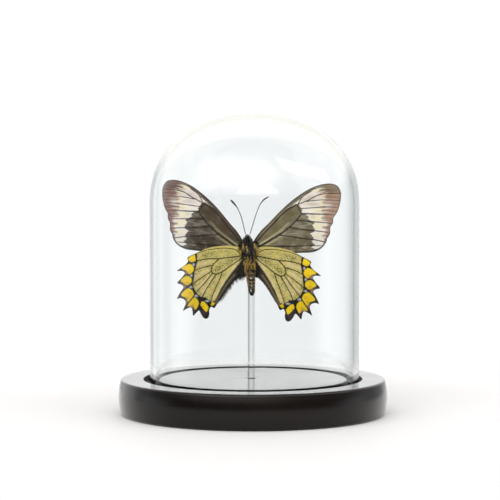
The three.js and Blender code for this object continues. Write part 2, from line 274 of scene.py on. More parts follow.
# Side, route as [x, z], how much wider the club is than the shaft, dark and worn colours. The right one's
# colours are painted lighter than the left's, as painted light from the right.
ANTENNAE = [
    ["left", [[-3.5, 85.7], [-4.4, 89.5], [-5.6, 94.2], [-7.3, 98], [-8.9, 100.1], [-10.6, 101.9]],
     0.3, "#3a3734", "#57524c"],
    ["right", [[-1.4, 85.7], [-0.2, 89.5], [1.2, 94.2], [2.6, 98], [3.8, 100.3], [5.5, 102.2], [7.6, 103.4]],
     0.17, "#474440", "#625e58"],
]
# Folded legs over the thorax: [turn from the front, rise] in degrees.
LEG_BENDS = {
    "front": [[12, 60], [46, 44], [20, 26]],
    "middle": [[12, 14], [54, 2], [24, -16]],
    "hind": [[12, -28], [58, -38], [26, -60]],
}
LEG_LIFT = 0.85
SPINES = 26

# Tufts in the body's fur: [x, z], half-size across and up, and tint (0 black, 0.5 gold, 1 buff).
BODY_TUFTS = [
    [[-4.5, 79.9], [0.32, 1.1], 1.0], [[-2.9, 79.8], [0.2, 0.8], 0.7], [[-2.6, 78.1], [0.35, 0.6], 1.0],
    [[0.7, 80.4], [0.5, 0.9], 0.75], [[1.6, 79.2], [0.25, 0.6], 1.0], [[2.7, 78.0], [0.5, 0.9], 0.6],
    [[2.0, 77.2], [0.3, 0.7], 0.5], [[-5.8, 77.2], [0.4, 1.2], 0.6], [[-3.5, 74.9], [0.3, 0.8], 0.7],
    [[-2.4, 74.8], [0.3, 0.8], 0.75], [[0.3, 77.2], [0.3, 0.9], 0.4], [[-1.1, 74.4], [0.2, 0.8], 0.95],
    [[-4.1, 72.8], [0.35, 0.9], 0.95], [[0.6, 74.2], [0.25, 0.9], 0.45],
]
ABDOMEN_TUFTS = [
    [[-2.9, 73.0], [0.3, 0.7], 0.65], [[-2.3, 71.8], [0.3, 0.9], 0.6], [[-3.3, 71.3], [0.25, 0.8], 0.65],
    [[-0.8, 70.9], [0.2, 1.0], 0.65], [[0.9, 71.0], [0.3, 1.1], 0.5], [[0.1, 72.0], [0.2, 0.9], 0.5],
    [[-3.6, 69.8], [0.3, 0.9], 0.8], [[-1.6, 72.4], [0.15, 0.8], 0.7],
]
THORAX_HAIRS = 6000
WING_ROOT_HAIRS = 1800
NECK_HAIRS = 900
HAIRS_PER_TUFT = 70
ABDOMEN_ROOT_HAIRS = 1500
ABDOMEN_HAIRS = 1400
HEAD_HAIRS = 1300
# ---------------------------------------------------------------- mesh helpers


def make_object(name, shape, material, fields=None):
    """A mesh object from (points in millimetres, index arrays of 3 or 4 columns)."""
    points, faces = shape
    mesh = bpy.data.meshes.new(name)
    loops = np.concatenate([f.ravel() for f in faces]).astype(np.int32)
    sizes = np.concatenate([np.full(len(f), f.shape[1]) for f in faces])
    starts = np.concatenate([[0], np.cumsum(sizes)[:-1]]).astype(np.int32)
    mesh.vertices.add(len(points))
    mesh.vertices.foreach_set("co", (np.asarray(points) * MM).astype(np.float32).ravel())
    mesh.loops.add(len(loops))
    mesh.loops.foreach_set("vertex_index", loops)
    mesh.polygons.add(len(sizes))
    mesh.polygons.foreach_set("loop_start", starts)
    mesh.polygons.foreach_set("use_smooth", np.full(len(sizes), True))
    mesh.update(calc_edges=True)
    mesh.validate()
    for field, values in (fields or {}).items():
        values = np.asarray(values, dtype=np.float32)
        kind, key = ("FLOAT_VECTOR", "vector") if values.ndim == 2 else ("FLOAT", "value")
        mesh.attributes.new(field, kind, "POINT").data.foreach_set(key, values.ravel())
    mesh.materials.append(material)
    thing = bpy.data.objects.new(name, mesh)
    bpy.context.scene.collection.objects.link(thing)
    return thing


def add_piece(name, shape, material, slot, *nodes, fields=None):
    """A visible piece on the one body, with its material and the CAD nodes it stands for. The slot is not
    used.
    """
    thing = make_object(name, shape, material, fields)
    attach(thing, "root")
    if nodes:
        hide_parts(*nodes)
    return thing


def turned(profile, steps):
    """A surface of revolution about Z from [radius, height, shift along X] rows."""
    points = []
    rings = []
    for radius, height, shift in profile:
        if radius < 1e-6:
            rings.append([len(points)] * steps)
            points.append([shift, 0, height])
            continue
        start = len(points)
        rings.append(list(range(start, start + steps)))
        for i in range(steps):
            angle = 2 * math.pi * i / steps
            points.append([shift + radius * math.cos(angle), radius * math.sin(angle), height])
    quads = []
    tips = []
    for lower, upper in zip(rings, rings[1:]):
        for i in range(steps):
            j = (i + 1) % steps
            corner = [lower[i], lower[j], upper[j], upper[i]]
            if lower[i] == lower[j]:
                tips.append([corner[0], corner[2], corner[3]])
            elif upper[i] == upper[j]:
                tips.append(corner[:3])
            else:
                quads.append(corner)
    return np.array(points), [np.array(kind) for kind in (quads, tips) if kind]


def arc(centre, radius, start, stop, steps):
    """Points on an arc, with angles in degrees."""
    angles = np.radians(np.linspace(start, stop, steps + 1))
    return [[centre[0] + radius * math.cos(a), centre[1] + radius * math.sin(a)] for a in angles]


def spline(points, steps):
    """A smooth curve through all points, with even steps between neighbours."""
    p = np.asarray(points, dtype=float)
    padded = np.vstack([p[:1], p, p[-1:]])
    t = (np.arange(steps) / steps)[:, None]
    rows = []
    for p0, p1, p2, p3 in zip(padded, padded[1:], padded[2:], padded[3:]):
        v0 = (p2 - p0) / 2
        v1 = (p3 - p1) / 2
        rows.append((2 * p1 - 2 * p2 + v0 + v1) * t**3 + (3 * p2 - 3 * p1 - 2 * v0 - v1) * t**2 + v0 * t + p1)
    return np.vstack([*rows, p[-1:]])


def resampled(line, spacing):
    """The same line with points about one spacing apart."""
    gaps = np.diff(line, axis=0)
    steps = np.hypot(*gaps.T) if line.shape[1] == 2 else np.linalg.norm(gaps, axis=1)
    along = np.concatenate([[0], np.cumsum(steps)])
    count = max(2, int(round(along[-1] / spacing)) + 1)
    places = np.linspace(0, along[-1], count)
    return np.column_stack([np.interp(places, along, column) for column in line.T])


def distance_to_line(points, line, closed=False):
    """Distance of each point to a line, and the share of the line's length where it is nearest."""
    ends = np.vstack([line, line[:1]]) if closed else line
    best = np.full(len(points), np.inf)
    share = np.zeros(len(points))
    pieces = list(zip(ends, ends[1:]))
    for k, (a, b) in enumerate(pieces):
        run = b - a
        t = np.clip(((points - a) @ run) / max(run @ run, 1e-12), 0, 1)
        gap = np.hypot(*(points - a - t[:, None] * run).T)
        nearer = gap < best
        best[nearer] = gap[nearer]
        share[nearer] = (k + t[nearer]) / len(pieces)
    return best, share


def inside(points, polygon):
    """True for each point inside a closed outline."""
    x, y = points.T
    result = np.zeros(len(points), dtype=bool)
    for (x0, y0), (x1, y1) in zip(polygon, np.roll(polygon, -1, axis=0)):
        if y0 == y1:
            continue
        crosses = (y0 > y) != (y1 > y)
        result ^= crosses & (x < (x1 - x0) * (y - y0) / (y1 - y0) + x0)
    return result


def depth_in(points, polygon):
    """Distance from an outline's edge: positive inside, negative outside."""
    polygon = np.asarray(polygon, dtype=float)
    gap, _ = distance_to_line(points, polygon, closed=True)
    return np.where(inside(points, polygon), gap, -gap)


def rounded(polygon, steps=4):
    """A closed outline with its corners softened."""
    p = np.asarray(polygon, dtype=float)
    looped = np.vstack([p[-1:], p, p[:2]])
    return spline(looped, steps)[steps:-steps - 1]


def smudge(points, blobs):
    """1 in the middle of each soft blob, fading to 0 at about twice its half-size."""
    total = np.zeros(len(points))
    for centre, half in blobs:
        reach = (((points - centre) / half) ** 2).sum(axis=1)
        total = np.maximum(total, np.exp(-reach))
    return total


def strip_share(points, lines, width):
    """1 on each line, fading to 0 at about twice the width away."""
    share = np.zeros(len(points))
    for line in lines:
        gap, _ = distance_to_line(points, spline(line, 6))
        share = np.maximum(share, np.exp(-((gap / width) ** 2)))
    return share


def ease(value, start, stop):
    """0 before start, 1 after stop, smooth between."""
    t = np.clip((value - start) / (stop - start), 0, 1)
    return t * t * (3 - 2 * t)


# ---------------------------------------------------------------- material helpers


def ink(code):
    """Linear colour from an sRGB hex code."""
    parts = [int(code[i:i + 2], 16) / 255 for i in (1, 3, 5)]
    return [*[c / 12.92 if c <= 0.04045 else ((c + 0.055) / 1.055) ** 2.4 for c in parts], 1]


class Signal:
    """A node's output, with short calls for the nodes that follow it."""

    def __init__(self, nodes, socket):
        self.nodes = nodes
        self.socket = socket

    def math(self, operation, *others):
        return self.nodes.add("Math", dict(enumerate([self, *others])), operation=operation)

    def __add__(self, other):
        return self.math("ADD", other)

    def __mul__(self, other):
        return self.math("MULTIPLY", other)

    def fade(self, start, stop, low=0.0, high=1.0):
        """low at start, high at stop, smooth between."""
        inputs = {"Value": self, "From Min": start, "From Max": stop, "To Min": low, "To Max": high}
        return self.nodes.add("MapRange", inputs, interpolation_type="SMOOTHSTEP")

    def over(self, share, other, mode="MIX"):
        """This colour with a share of another laid over it."""
        return self.nodes.mix(share, self, other, mode)

    def noise(self, scale, detail=3, roughness=0.55):
        """Noise over this place. A scale of three numbers stretches the place first."""
        vector = self
        if isinstance(scale, tuple):
            vector = self.nodes.add("VectorMath", {0: self, 1: scale}, operation="MULTIPLY")
            scale = 1
        inputs = {"Vector": vector, "Scale": scale, "Detail": detail, "Roughness": roughness}
        return self.nodes.add("TexNoise", inputs)

    def bump(self, distance_mm, strength, below=None):
        inputs = {"Height": self, "Distance": distance_mm * MM, "Strength": strength}
        if below:
            inputs["Normal"] = below
        return self.nodes.add("Bump", inputs)

    def parts(self):
        """The X, Y and Z of this place."""
        split = self.nodes.add("SeparateXYZ", {0: self}).socket.node
        return [Signal(self.nodes, socket) for socket in split.outputs]


class Nodes:
    """The node tree of a material or world. A colour may be given as an sRGB hex code."""

    def __init__(self, owner):
        owner.use_nodes = True
        self.tree = owner.node_tree
        self.tree.nodes.clear()

    def set(self, node, key, value):
        if isinstance(value, Signal):
            self.tree.links.new(value.socket, node.inputs[key])
        else:
            node.inputs[key].default_value = ink(value) if isinstance(value, str) else value

    def add(self, kind, inputs=None, output=0, **settings):
        made = self.tree.nodes.new("ShaderNode" + kind)
        for key, value in settings.items():
            setattr(made, key, value)
        for key, value in (inputs or {}).items():
            self.set(made, key, value)
        return Signal(self, made.outputs[output])

    def mix(self, share, first, second, mode="MIX"):
        return self.add("Mix", {"Factor": share, 6: first, 7: second}, 2, data_type="RGBA", blend_type=mode)

    def field(self, name):
        """A number stored on the mesh's points."""
        return self.add("Attribute", output="Fac", attribute_name=name)

    def place(self, name=None):
        """Where a point is: a stored vector, or the object's own metres."""
        if name:
            return self.add("Attribute", output="Vector", attribute_name=name)
        return self.add("TexCoord", output="Object")


class Paint(Nodes):
    """One material: a principled shader, with plain values set on its own sockets."""

    def __init__(self, name, values):
        self.material = bpy.data.materials.new(name)
        super().__init__(self.material)
        self.output = self.tree.nodes.new("ShaderNodeOutputMaterial")
        self.shader = self.tree.nodes.new("ShaderNodeBsdfPrincipled")
        self.set(self.output, "Surface", Signal(self, self.shader.outputs["BSDF"]))
        for key, value in values.items():
            self.set(self.shader, key, value)

    def finish(self, color=None, roughness=None, normal=None):
        for key, value in (("Base Color", color), ("Roughness", roughness), ("Normal", normal)):
            if value:
                self.set(self.shader, key, value)
        return self.material


# ---------------------------------------------------------------- base


def black_wood_material():
    """Satin black paint on turned wood: fine orange peel, dust specks and a thin clear coat."""
    paint = Paint("black_wood", {"IOR": 1.25, "Coat Weight": 1.0, "Coat IOR": 1.2, "Coat Roughness": 0.12})
    where = paint.place()
    cloud = where.noise(45, 4)
    speckle = where.noise(2600, 2)
    color = paint.mix(cloud.fade(0.35, 0.7), "#0b0807", "#120d0a")
    color = color.over(speckle.fade(0.69, 0.75) * 0.25, "#3c3a36")
    rings = where.noise((60, 60, 700)).bump(0.02, 0.25, speckle.bump(0.008, 0.3))
    peel = where.noise(700, 2).bump(0.012, 0.35, rings)
    return paint.finish(color, cloud.fade(0.3, 0.75, 0.2, 0.27), peel)


def base_side_radius(height):
    """The side bellies out most at BASE_BELLY_HEIGHT."""
    reach = BASE_HEIGHT - BASE_BELLY_HEIGHT
    return BASE_RADIUS - BASE_SIDE_FALL * ((height - BASE_BELLY_HEIGHT) / reach) ** 2


def make_base():
    """A turned disc with a ring groove for the dome. Inside the groove its rings shift to the rod's hole."""
    floor = BASE_HEIGHT - GROOVE_DEPTH
    foot = base_side_radius(BASE_FOOT_ROUND)
    edge = base_side_radius(BASE_HEIGHT - BASE_EDGE_ROUND)
    round_ = GROOVE_EDGE_ROUND
    rows = [[0, 0]]
    rows += arc([foot - BASE_FOOT_ROUND, BASE_FOOT_ROUND], BASE_FOOT_ROUND, -90, 0, 6)
    for height in np.linspace(BASE_FOOT_ROUND, BASE_HEIGHT - BASE_EDGE_ROUND, 18)[1:-1]:
        rows.append([base_side_radius(height), height])
    rows += arc([edge - BASE_EDGE_ROUND, BASE_HEIGHT - BASE_EDGE_ROUND], BASE_EDGE_ROUND, 0, 90, 5)
    rows += [[58, BASE_HEIGHT]]
    rows += arc([GROOVE_OUTER_RADIUS + round_, BASE_HEIGHT - round_], round_, 90, 180, 4)
    rows += arc([GROOVE_OUTER_RADIUS - round_, floor + round_], round_, 0, -90, 3)
    rows += arc([GROOVE_INNER_RADIUS + round_, floor + round_], round_, -90, -180, 3)
    rows += arc([GROOVE_INNER_RADIUS - round_, BASE_HEIGHT - round_], round_, 0, 90, 4)
    rings = [[radius, height, 0] for radius, height in rows]
    for radius in (38, 30, 20, 11, 5):
        rings.append([radius, BASE_HEIGHT, ROD_X * (1 - radius / 44)])
    edge_centre = [HOLE_RADIUS + HOLE_EDGE_ROUND, BASE_HEIGHT - HOLE_EDGE_ROUND]
    hole = arc(edge_centre, HOLE_EDGE_ROUND, 90, 180, 3) + [[HOLE_RADIUS, HOLE_FLOOR], [0, HOLE_FLOOR]]
    rings += [[radius, height, ROD_X] for radius, height in hole]
    base = add_piece("turned_base", turned(rings, BASE_STEPS), black_wood_material(), "black_wood", "base")
    base.modifiers.new("edges", "WEIGHTED_NORMAL")


# ---------------------------------------------------------------- glass dome and rod


def clear_paint(name, ior, tint, density, roughness=0.0):
    """Clear material by plain transmission, IOR and absorption."""
    values = {"Base Color": (1, 1, 1, 1), "Transmission Weight": 1, "IOR": ior, "Roughness": roughness}
    paint = Paint(name, values)
    paint.set(paint.output, "Volume", paint.add("VolumeAbsorption", {"Color": tint, "Density": density}))
    return paint


def glass_material():
    """Blown glass: very faint long waves in the surface."""
    paint = clear_paint("clear_glass", 1.5, "#cfe6dc", 26)
    return paint.finish(normal=paint.place().noise((14, 14, 5), 1).bump(1.2, 0.12))


def acrylic_material():
    """Clear acrylic rod with the faint scuffs of handling."""
    paint = clear_paint("clear_acrylic", 1.49, "#d4e0c8", 40)
    return paint.finish(roughness=paint.place().noise((900, 900, 120)).fade(0.55, 0.8, 0.01, 0.09))


def cap(radius, rise, steps):
    """The dome's rounded top, from its shoulder to its middle."""
    rows = []
    for i in range(steps + 1):
        angle = math.pi / 2 * i / steps
        across = math.cos(angle) ** (2 / DOME_FULLNESS) if i < steps else 0
        rows.append([radius * across, DOME_SHOULDER + rise * math.sin(angle) ** (2 / DOME_FULLNESS)])
    return rows


def make_dome():
    """Inner cap and wall, round rim, outer wall and cap in one closed profile."""
    half = DOME_WALL / 2
    rim = [DOME_RADIUS - half, DOME_RIM_LOW + half]
    rise = DOME_TOP - DOME_SHOULDER
    rows = cap(DOME_RADIUS - DOME_WALL, rise - DOME_WALL, 40)[::-1]
    wall_heights = (14.8, 15.1, 16, 19, 26, 38, 50, 62, 74, 86, 95, 99, 99.8)
    rows += [[DOME_RADIUS - DOME_WALL, z] for z in wall_heights[::-1]]
    rows += arc(rim, half, 180, 360, 12)
    rows += [[DOME_RADIUS, z] for z in wall_heights]
    rows += cap(DOME_RADIUS, rise, 40)
    shape = turned([[r, z, DOME_OFFSET_X] for r, z in rows], DOME_STEPS)
    dome = add_piece("blown_dome", shape, glass_material(), "clear_glass", "glass_dome")
    dome.modifiers.new("even", "WEIGHTED_NORMAL")


def make_rod():
    edge = ROD_EDGE_ROUND
    rows = [[0, ROD_FOOT], [ROD_RADIUS - edge, ROD_FOOT], [ROD_RADIUS, ROD_FOOT + edge]]
    rows += [[ROD_RADIUS, z] for z in (ROD_FOOT + 0.5, 12, 20, 30, 40, 50, 60, 70, 77, ROD_TOP - 0.5)]
    rows += arc([ROD_RADIUS - edge, ROD_TOP - edge], edge, 0, 90, 4) + [[0, ROD_TOP]]
    shape = turned([[r, z, ROD_X] for r, z in rows], ROD_STEPS)
    rod = add_piece("clear_rod", shape, acrylic_material(), "clear_acrylic", "rod")
    rod.modifiers.new("even", "WEIGHTED_NORMAL")


# ---------------------------------------------------------------- wings

WING_GRID = 0.24
VEIN_STEP = 0.3
VEIN_MARGIN = 0.12
SLIVER_AREA = 1e-7


def wing_mesh_2d(outline, veins):
    """Triangles over a wing's outline, with edges that follow every vein."""
    edge = resampled(np.vstack([spline(outline, 12), outline[:1]]), WING_GRID)[:-1]
    lines = [resampled(spline(route, 12), VEIN_STEP) for _, _, _, route in veins]
    fixed = [edge]
    links = [[i, (i + 1) % len(edge)] for i in range(len(edge))]
    count = len(edge)
    for line in lines:
        kept = line[depth_in(line, edge) > VEIN_MARGIN]
        fixed.append(kept)
        links += [[count + i, count + i + 1] for i in range(len(kept) - 1)]
        count += len(kept)
    low, high = edge.min(axis=0), edge.max(axis=0)
    row_step = WING_GRID * math.sqrt(3) / 2
    ys = np.arange(low[1], high[1], row_step)
    xs = np.arange(low[0], high[0], WING_GRID)
    grid = np.array([[x + (k % 2) * WING_GRID / 2, y] for k, y in enumerate(ys) for x in xs])
    grid = grid[depth_in(grid, edge) > WING_GRID * 0.6]
    for line in lines:
        near, _ = distance_to_line(grid, line)
        grid = grid[near > WING_GRID * 0.55]
    points = np.vstack([*fixed, grid])
    made = delaunay_2d_cdt([Vector(p) for p in points.tolist()], links, [], 1, 1e-5, False)
    flat = np.array([[v.x, v.y] for v in made[0]])
    faces = np.array(made[2])
    faces = faces[inside(flat[faces].mean(axis=1), edge)]
    corner = flat[faces]
    area = np.cross(corner[:, 1] - corner[:, 0], corner[:, 2] - corner[:, 0])
    faces = faces[np.abs(area) > SLIVER_AREA]
    area = area[np.abs(area) > SLIVER_AREA]
    faces[area < 0] = faces[area < 0][:, ::-1]
    return flat, faces


def outer_loop(faces):
    """Directed edges that only one triangle has."""
    sides = np.vstack([faces[:, [0, 1]], faces[:, [1, 2]], faces[:, [2, 0]]])
    known = {tuple(side) for side in sides.tolist()}
    return np.array([side for side in known if (side[1], side[0]) not in known])


def vein_fields(points, veins):
    """Distance to the nearest vein in half-widths of its dark line, and in millimetres."""
    relative = np.full(len(points), np.inf)
    plain = np.full(len(points), np.inf)
    for _, first, last, route in veins:
        gap, share = distance_to_line(points, spline(route, 6))
        relative = np.minimum(relative, gap / (first + (last - first) * share))
        plain = np.minimum(plain, gap)
    return relative, plain


def wing_frame(name):
    """Origin and axes of a wing: outward, towards the back, and upward."""
    wing = WINGS[name]
    back = math.radians(wing["back"]) * wing["side"]
    turn = np.array([[math.cos(back), -math.sin(back), 0], [math.sin(back), math.cos(back), 0], [0, 0, 1]])
    across, along = math.cos(SWING), math.sin(SWING)
    swing = np.array([[across, 0, along], [0, 1, 0], [-along, 0, across]])
    axes = turn @ swing
    return np.array(wing["hinge"]), axes[:, 0] * wing["side"], axes[:, 1], axes[:, 2]


def wing_to_world(name, flat, depth):
    """Places given as [outward, upward] on a wing, with their depths behind its plane."""
    hinge, out, back, up = wing_frame(name)
    return hinge + flat[:, :1] * out + depth[:, None] * back + flat[:, 1:2] * up


def make_wing(name, outline, veins, material, fields_of, shape_of):
    """A thin blade with raised veins: a front, a back and a strip round the edge."""
    flat, faces = wing_mesh_2d(np.array(outline, dtype=float), veins)
    relative, plain = vein_fields(flat, veins)
    rim, _ = distance_to_line(flat, spline(outline, 12), closed=True)
    ridge = 0.09 * np.exp(-((plain / 0.14) ** 2)) * ease(rim, 0.0, 0.5)
    sag = -0.1 * (1 - np.exp(-plain / 0.9))
    half = 0.035 + 0.045 * ease(rim, 0, 1.2)
    middle = shape_of(flat) + sag
    fields = {"vein": relative, "rim": rim, **fields_of(flat)}
    fields["wing_at"] = np.column_stack([flat, np.zeros(len(flat))])
    front = wing_to_world(name, flat, middle - half - ridge)
    behind = wing_to_world(name, flat, middle + half + 0.5 * ridge)
    count = len(flat)
    loop = outer_loop(faces)
    sides = np.column_stack([loop[:, 1], loop[:, 0], loop[:, 0] + count, loop[:, 1] + count])
    shown = [faces, faces[:, ::-1] + count, sides]
    if WINGS[name]["side"] < 0:
        shown = [f[:, ::-1] for f in shown]
    doubled = {key: np.concatenate([value, value]) for key, value in fields.items()}
    doubled["front"] = np.concatenate([np.ones(count), np.zeros(count)])
    shape = (np.vstack([front, behind]), shown)
    add_piece(name + "_scaled", shape, material, name.split("_")[0] + "_scales", name, fields=doubled)


def across_veins(flat):
    """A smooth coordinate that grows from vein to vein, so that streaks run along the cells."""
    total = np.zeros(len(flat))
    weight = np.zeros(len(flat))
    ordered = [(VEIN_ORDER[name], route) for name, _, _, route in FOREWING_VEINS]
    for (first, last), route in ordered + EDGE_ORDER:
        gap, share = distance_to_line(flat, spline(route, 6))
        pull = 1 / (gap + 0.12) ** 2
        total += pull * (first + (last - first) * share)
        weight += pull
    return total / weight


def forewing_fields(flat):
    out, up = flat.T
    heights, starts, ends = np.array(BROWN_EDGE).T
    start = np.interp(up, heights, starts)
    buff = np.zeros(len(flat))
    for streak in BUFF_STREAKS:
        gap, share = distance_to_line(flat, spline(streak, 6))
        buff = np.maximum(buff, np.exp(-((gap / 0.45) ** 2)) * (1 - 0.75 * share))
    return {
        "pale": depth_in(flat, PALE_BAND),
        "brown": np.clip((out - start) / (np.interp(up, heights, ends) - start), -0.5, 1.5),
        "mist": smudge(flat, MIST_SMUDGES),
        "ray": strip_share(flat, BROWN_RAYS, 0.55),
        "cream": smudge(flat, CREAM_SMUDGES),
        "lilac": smudge(flat, LILAC_SMUDGES),
        "buff": buff,
        "cell": depth_in(flat, DISCAL_CELL),
        "flow": np.column_stack([out, across_veins(flat), 0 * out]),
    }


def forewing_shape(flat):
    """How far the blade stands behind its plane."""
    out, up = flat.T
    bow = -0.55 * np.sin(np.clip(out / 39, 0, 1) * math.pi)
    wave = 0.16 * np.sin(out * 0.33 + up * 0.21) + 0.1 * np.sin(up * 0.52 - out * 0.17 + 1.4)
    return bow + wave * ease(out, 2, 16)


def hindwing_fields(flat):
    out, up = flat.T
    ahead, beside = up - 2.5, out + 3.0
    return {
        "field": depth_in(flat, OLIVE_FIELD),
        "yellow": np.max([depth_in(flat, rounded(spot)) for spot in YELLOW_SPOTS], axis=0),
        "orange": smudge(flat, ORANGE_SMUDGES),
        "blue": smudge(flat, BLUE_SPOTS),
        "pink": smudge(flat, PINK_NOTCHES),
        "stripe": strip_share(flat, [FOLD_STRIPE], 0.5),
        "pale_ray": strip_share(flat, PALE_RAYS, 1.0),
        "speckled": strip_share(flat, SPECKLED_STRIPS, 1.0),
        "flow": np.column_stack([np.hypot(ahead, beside), np.arctan2(ahead, beside) * 16, 0 * out]),
    }


def hindwing_shape(flat):
    """How far the blade stands behind its plane. The inner flap turns back behind the abdomen."""
    out, up = flat.T
    bow = -0.4 * np.sin(np.clip(out / 30, 0, 1) * math.pi)
    wave = 0.14 * np.sin(out * 0.3 - up * 0.27) + 0.08 * np.sin(up * 0.6 + out * 0.2)
    flap = 1.9 * ease(-out, -2.2, 1.6) * ease(-up, 1.5, 6.5)
    return bow + wave * ease(out, 3, 12) + flap


WING_VALUES = {"Specular IOR Level": 0.15, "Sheen Weight": 0.05, "Sheen Roughness": 0.4}


def scale_texture(paint):
    """Fine and coarse grain of wing scales."""
    where = paint.place()
    return where.noise(9000, 2, 0.6), where.noise(2200, 3, 0.6)


def finished_wing(paint, upper, under, grain, streaks):
    """The underside's colour in front and the upper side's behind, with the relief of the scales."""
    normal = grain.bump(0.03, 0.5, streaks.bump(0.08, 0.35))
    return paint.finish(upper.over(paint.field("front"), under), grain.fade(0.3, 0.7, 0.55, 0.72), normal)


def forewing_material(name, tone):
    """Underside in front; the upper side behind is darker with the same pale band."""
    paint = Paint(name, WING_VALUES)
    field = paint.field
    flow, wing_at = paint.place("flow"), paint.place("wing_at")
    out, up, _ = wing_at.parts()
    grain, soft = scale_texture(paint)
    streaks = flow.noise((0.2, 5.2, 1), 4, 0.6)
    fingers = flow.noise((0.1, 2.6, 1), 3, 0.6)
    cloud = wing_at.noise(0.22)
    patch = wing_at.noise(0.16, 2)
    wobble = wing_at.noise(1.6, 4, 0.65)

    inner = paint.mix(cloud.fade(0.35, 0.65), tone["dark"], tone["dark_warm"])
    streaked = streaks.fade(0.46, 0.66, 0, 0.9) * patch.fade(0.4, 0.6, 0.35, 1.0)
    inner = inner.over(streaked, tone["dark_streak"])
    cell = field("cell").fade(-0.2, 2.2) * streaks.fade(0.3, 0.7, 0.35, 1.0)
    inner = inner.over(cell * 0.55, tone["cell"])
    inner = inner.over(field("mist") * streaks.fade(0.35, 0.6, 0.1, 0.85), tone["mist"])
    inner = inner.over(field("buff") * 0.95, tone["buff"])

    outer = paint.mix(cloud.fade(0.35, 0.7), "#fff5eb", "#f8ebe2")
    outer = outer.over(streaks.fade(0.42, 0.7, 0, 0.45), "#fbf6ec")
    outer = outer.over(field("lilac") * 0.85, tone["lilac"])
    outer = outer.over(field("cream") * 0.75, "#fff3c0")
    brown = paint.mix(streaks.fade(0.3, 0.7), tone["brown"], tone["brown_light"])
    brown = brown.over(up.fade(23.5, 26.5, 0, 0.85), tone["apex"])
    browned = (field("brown") + fingers.fade(0.3, 0.7, -0.55, 0.55)).fade(-0.15, 0.85)
    outer = outer.over(browned, brown)
    outer = outer.over(field("ray") * streaks.fade(0.2, 0.6, 0.35, 0.8), tone["ray"])

    edge = field("pale") + wobble.fade(0.3, 0.7, -0.35, 0.35)
    color = inner.over(edge.fade(-0.12, 0.2), outer)
    broad = field("rim").fade(2.6, 0.6) * out.fade(9, 17, 0.7, 0)
    narrow = field("rim").fade(1.1, 0.5) * out.fade(22, 32, 0.85, 0.4)
    strip = (out * -0.85 + up).fade(0.6, 3.2) * broad.math("MAXIMUM", narrow)
    color = color.over(strip, tone["costa"])
    line = (field("vein") + soft.fade(0.3, 0.7, -0.25, 0.25)).fade(1.45, 0.65)
    color = color.over(line * 0.94, tone["vein"])
    rim = field("rim") + up.fade(9, 3, 0, -0.35) + wobble.fade(0.3, 0.7, -0.16, 0.16)
    color = color.over(rim.fade(0.62, 0.22) * 0.9, "#211915")
    color = color.over(grain.fade(0.3, 0.7, 0, 0.22), "#1c1815", "MULTIPLY")

    upper = color.over(0.6, "#2a221c", "MULTIPLY").over(edge.fade(-0.1, 0.5, 0, 0.75), "#e6dcc0")
    upper = upper.over(browned * 0.95, "#2a221d").over(line * 0.9, "#191412")
    return finished_wing(paint, upper, color, grain, streaks)


# The two forewings share one pattern; the right wing's tones are painted lighter than the left's, as painted
# light falling from the right.
TONES_WITH_PAINTED_LIGHT = {
    "left": {
        "dark": "#3f362b", "dark_warm": "#3c2a1c", "dark_streak": "#8a806c", "cell": "#4e3a18",
        "buff": "#b8ab7c", "lilac": "#e0cdca", "brown": "#7f472c", "brown_light": "#ab7356",
        "ray": "#4c2b1c", "apex": "#6a4535", "costa": "#5c493a", "vein": "#140f0b", "mist": "#90867a",
    },
    "right": {
        "dark": "#6f654f", "dark_warm": "#62553c", "dark_streak": "#b0a68a", "cell": "#6f6532",
        "buff": "#d0c494", "lilac": "#d6c7ba", "brown": "#9a6640", "brown_light": "#cf9a74",
        "ray": "#6e543c", "apex": "#8a785c", "costa": "#7d6f59", "vein": "#1a140f", "mist": "#a29a86",
    },
}


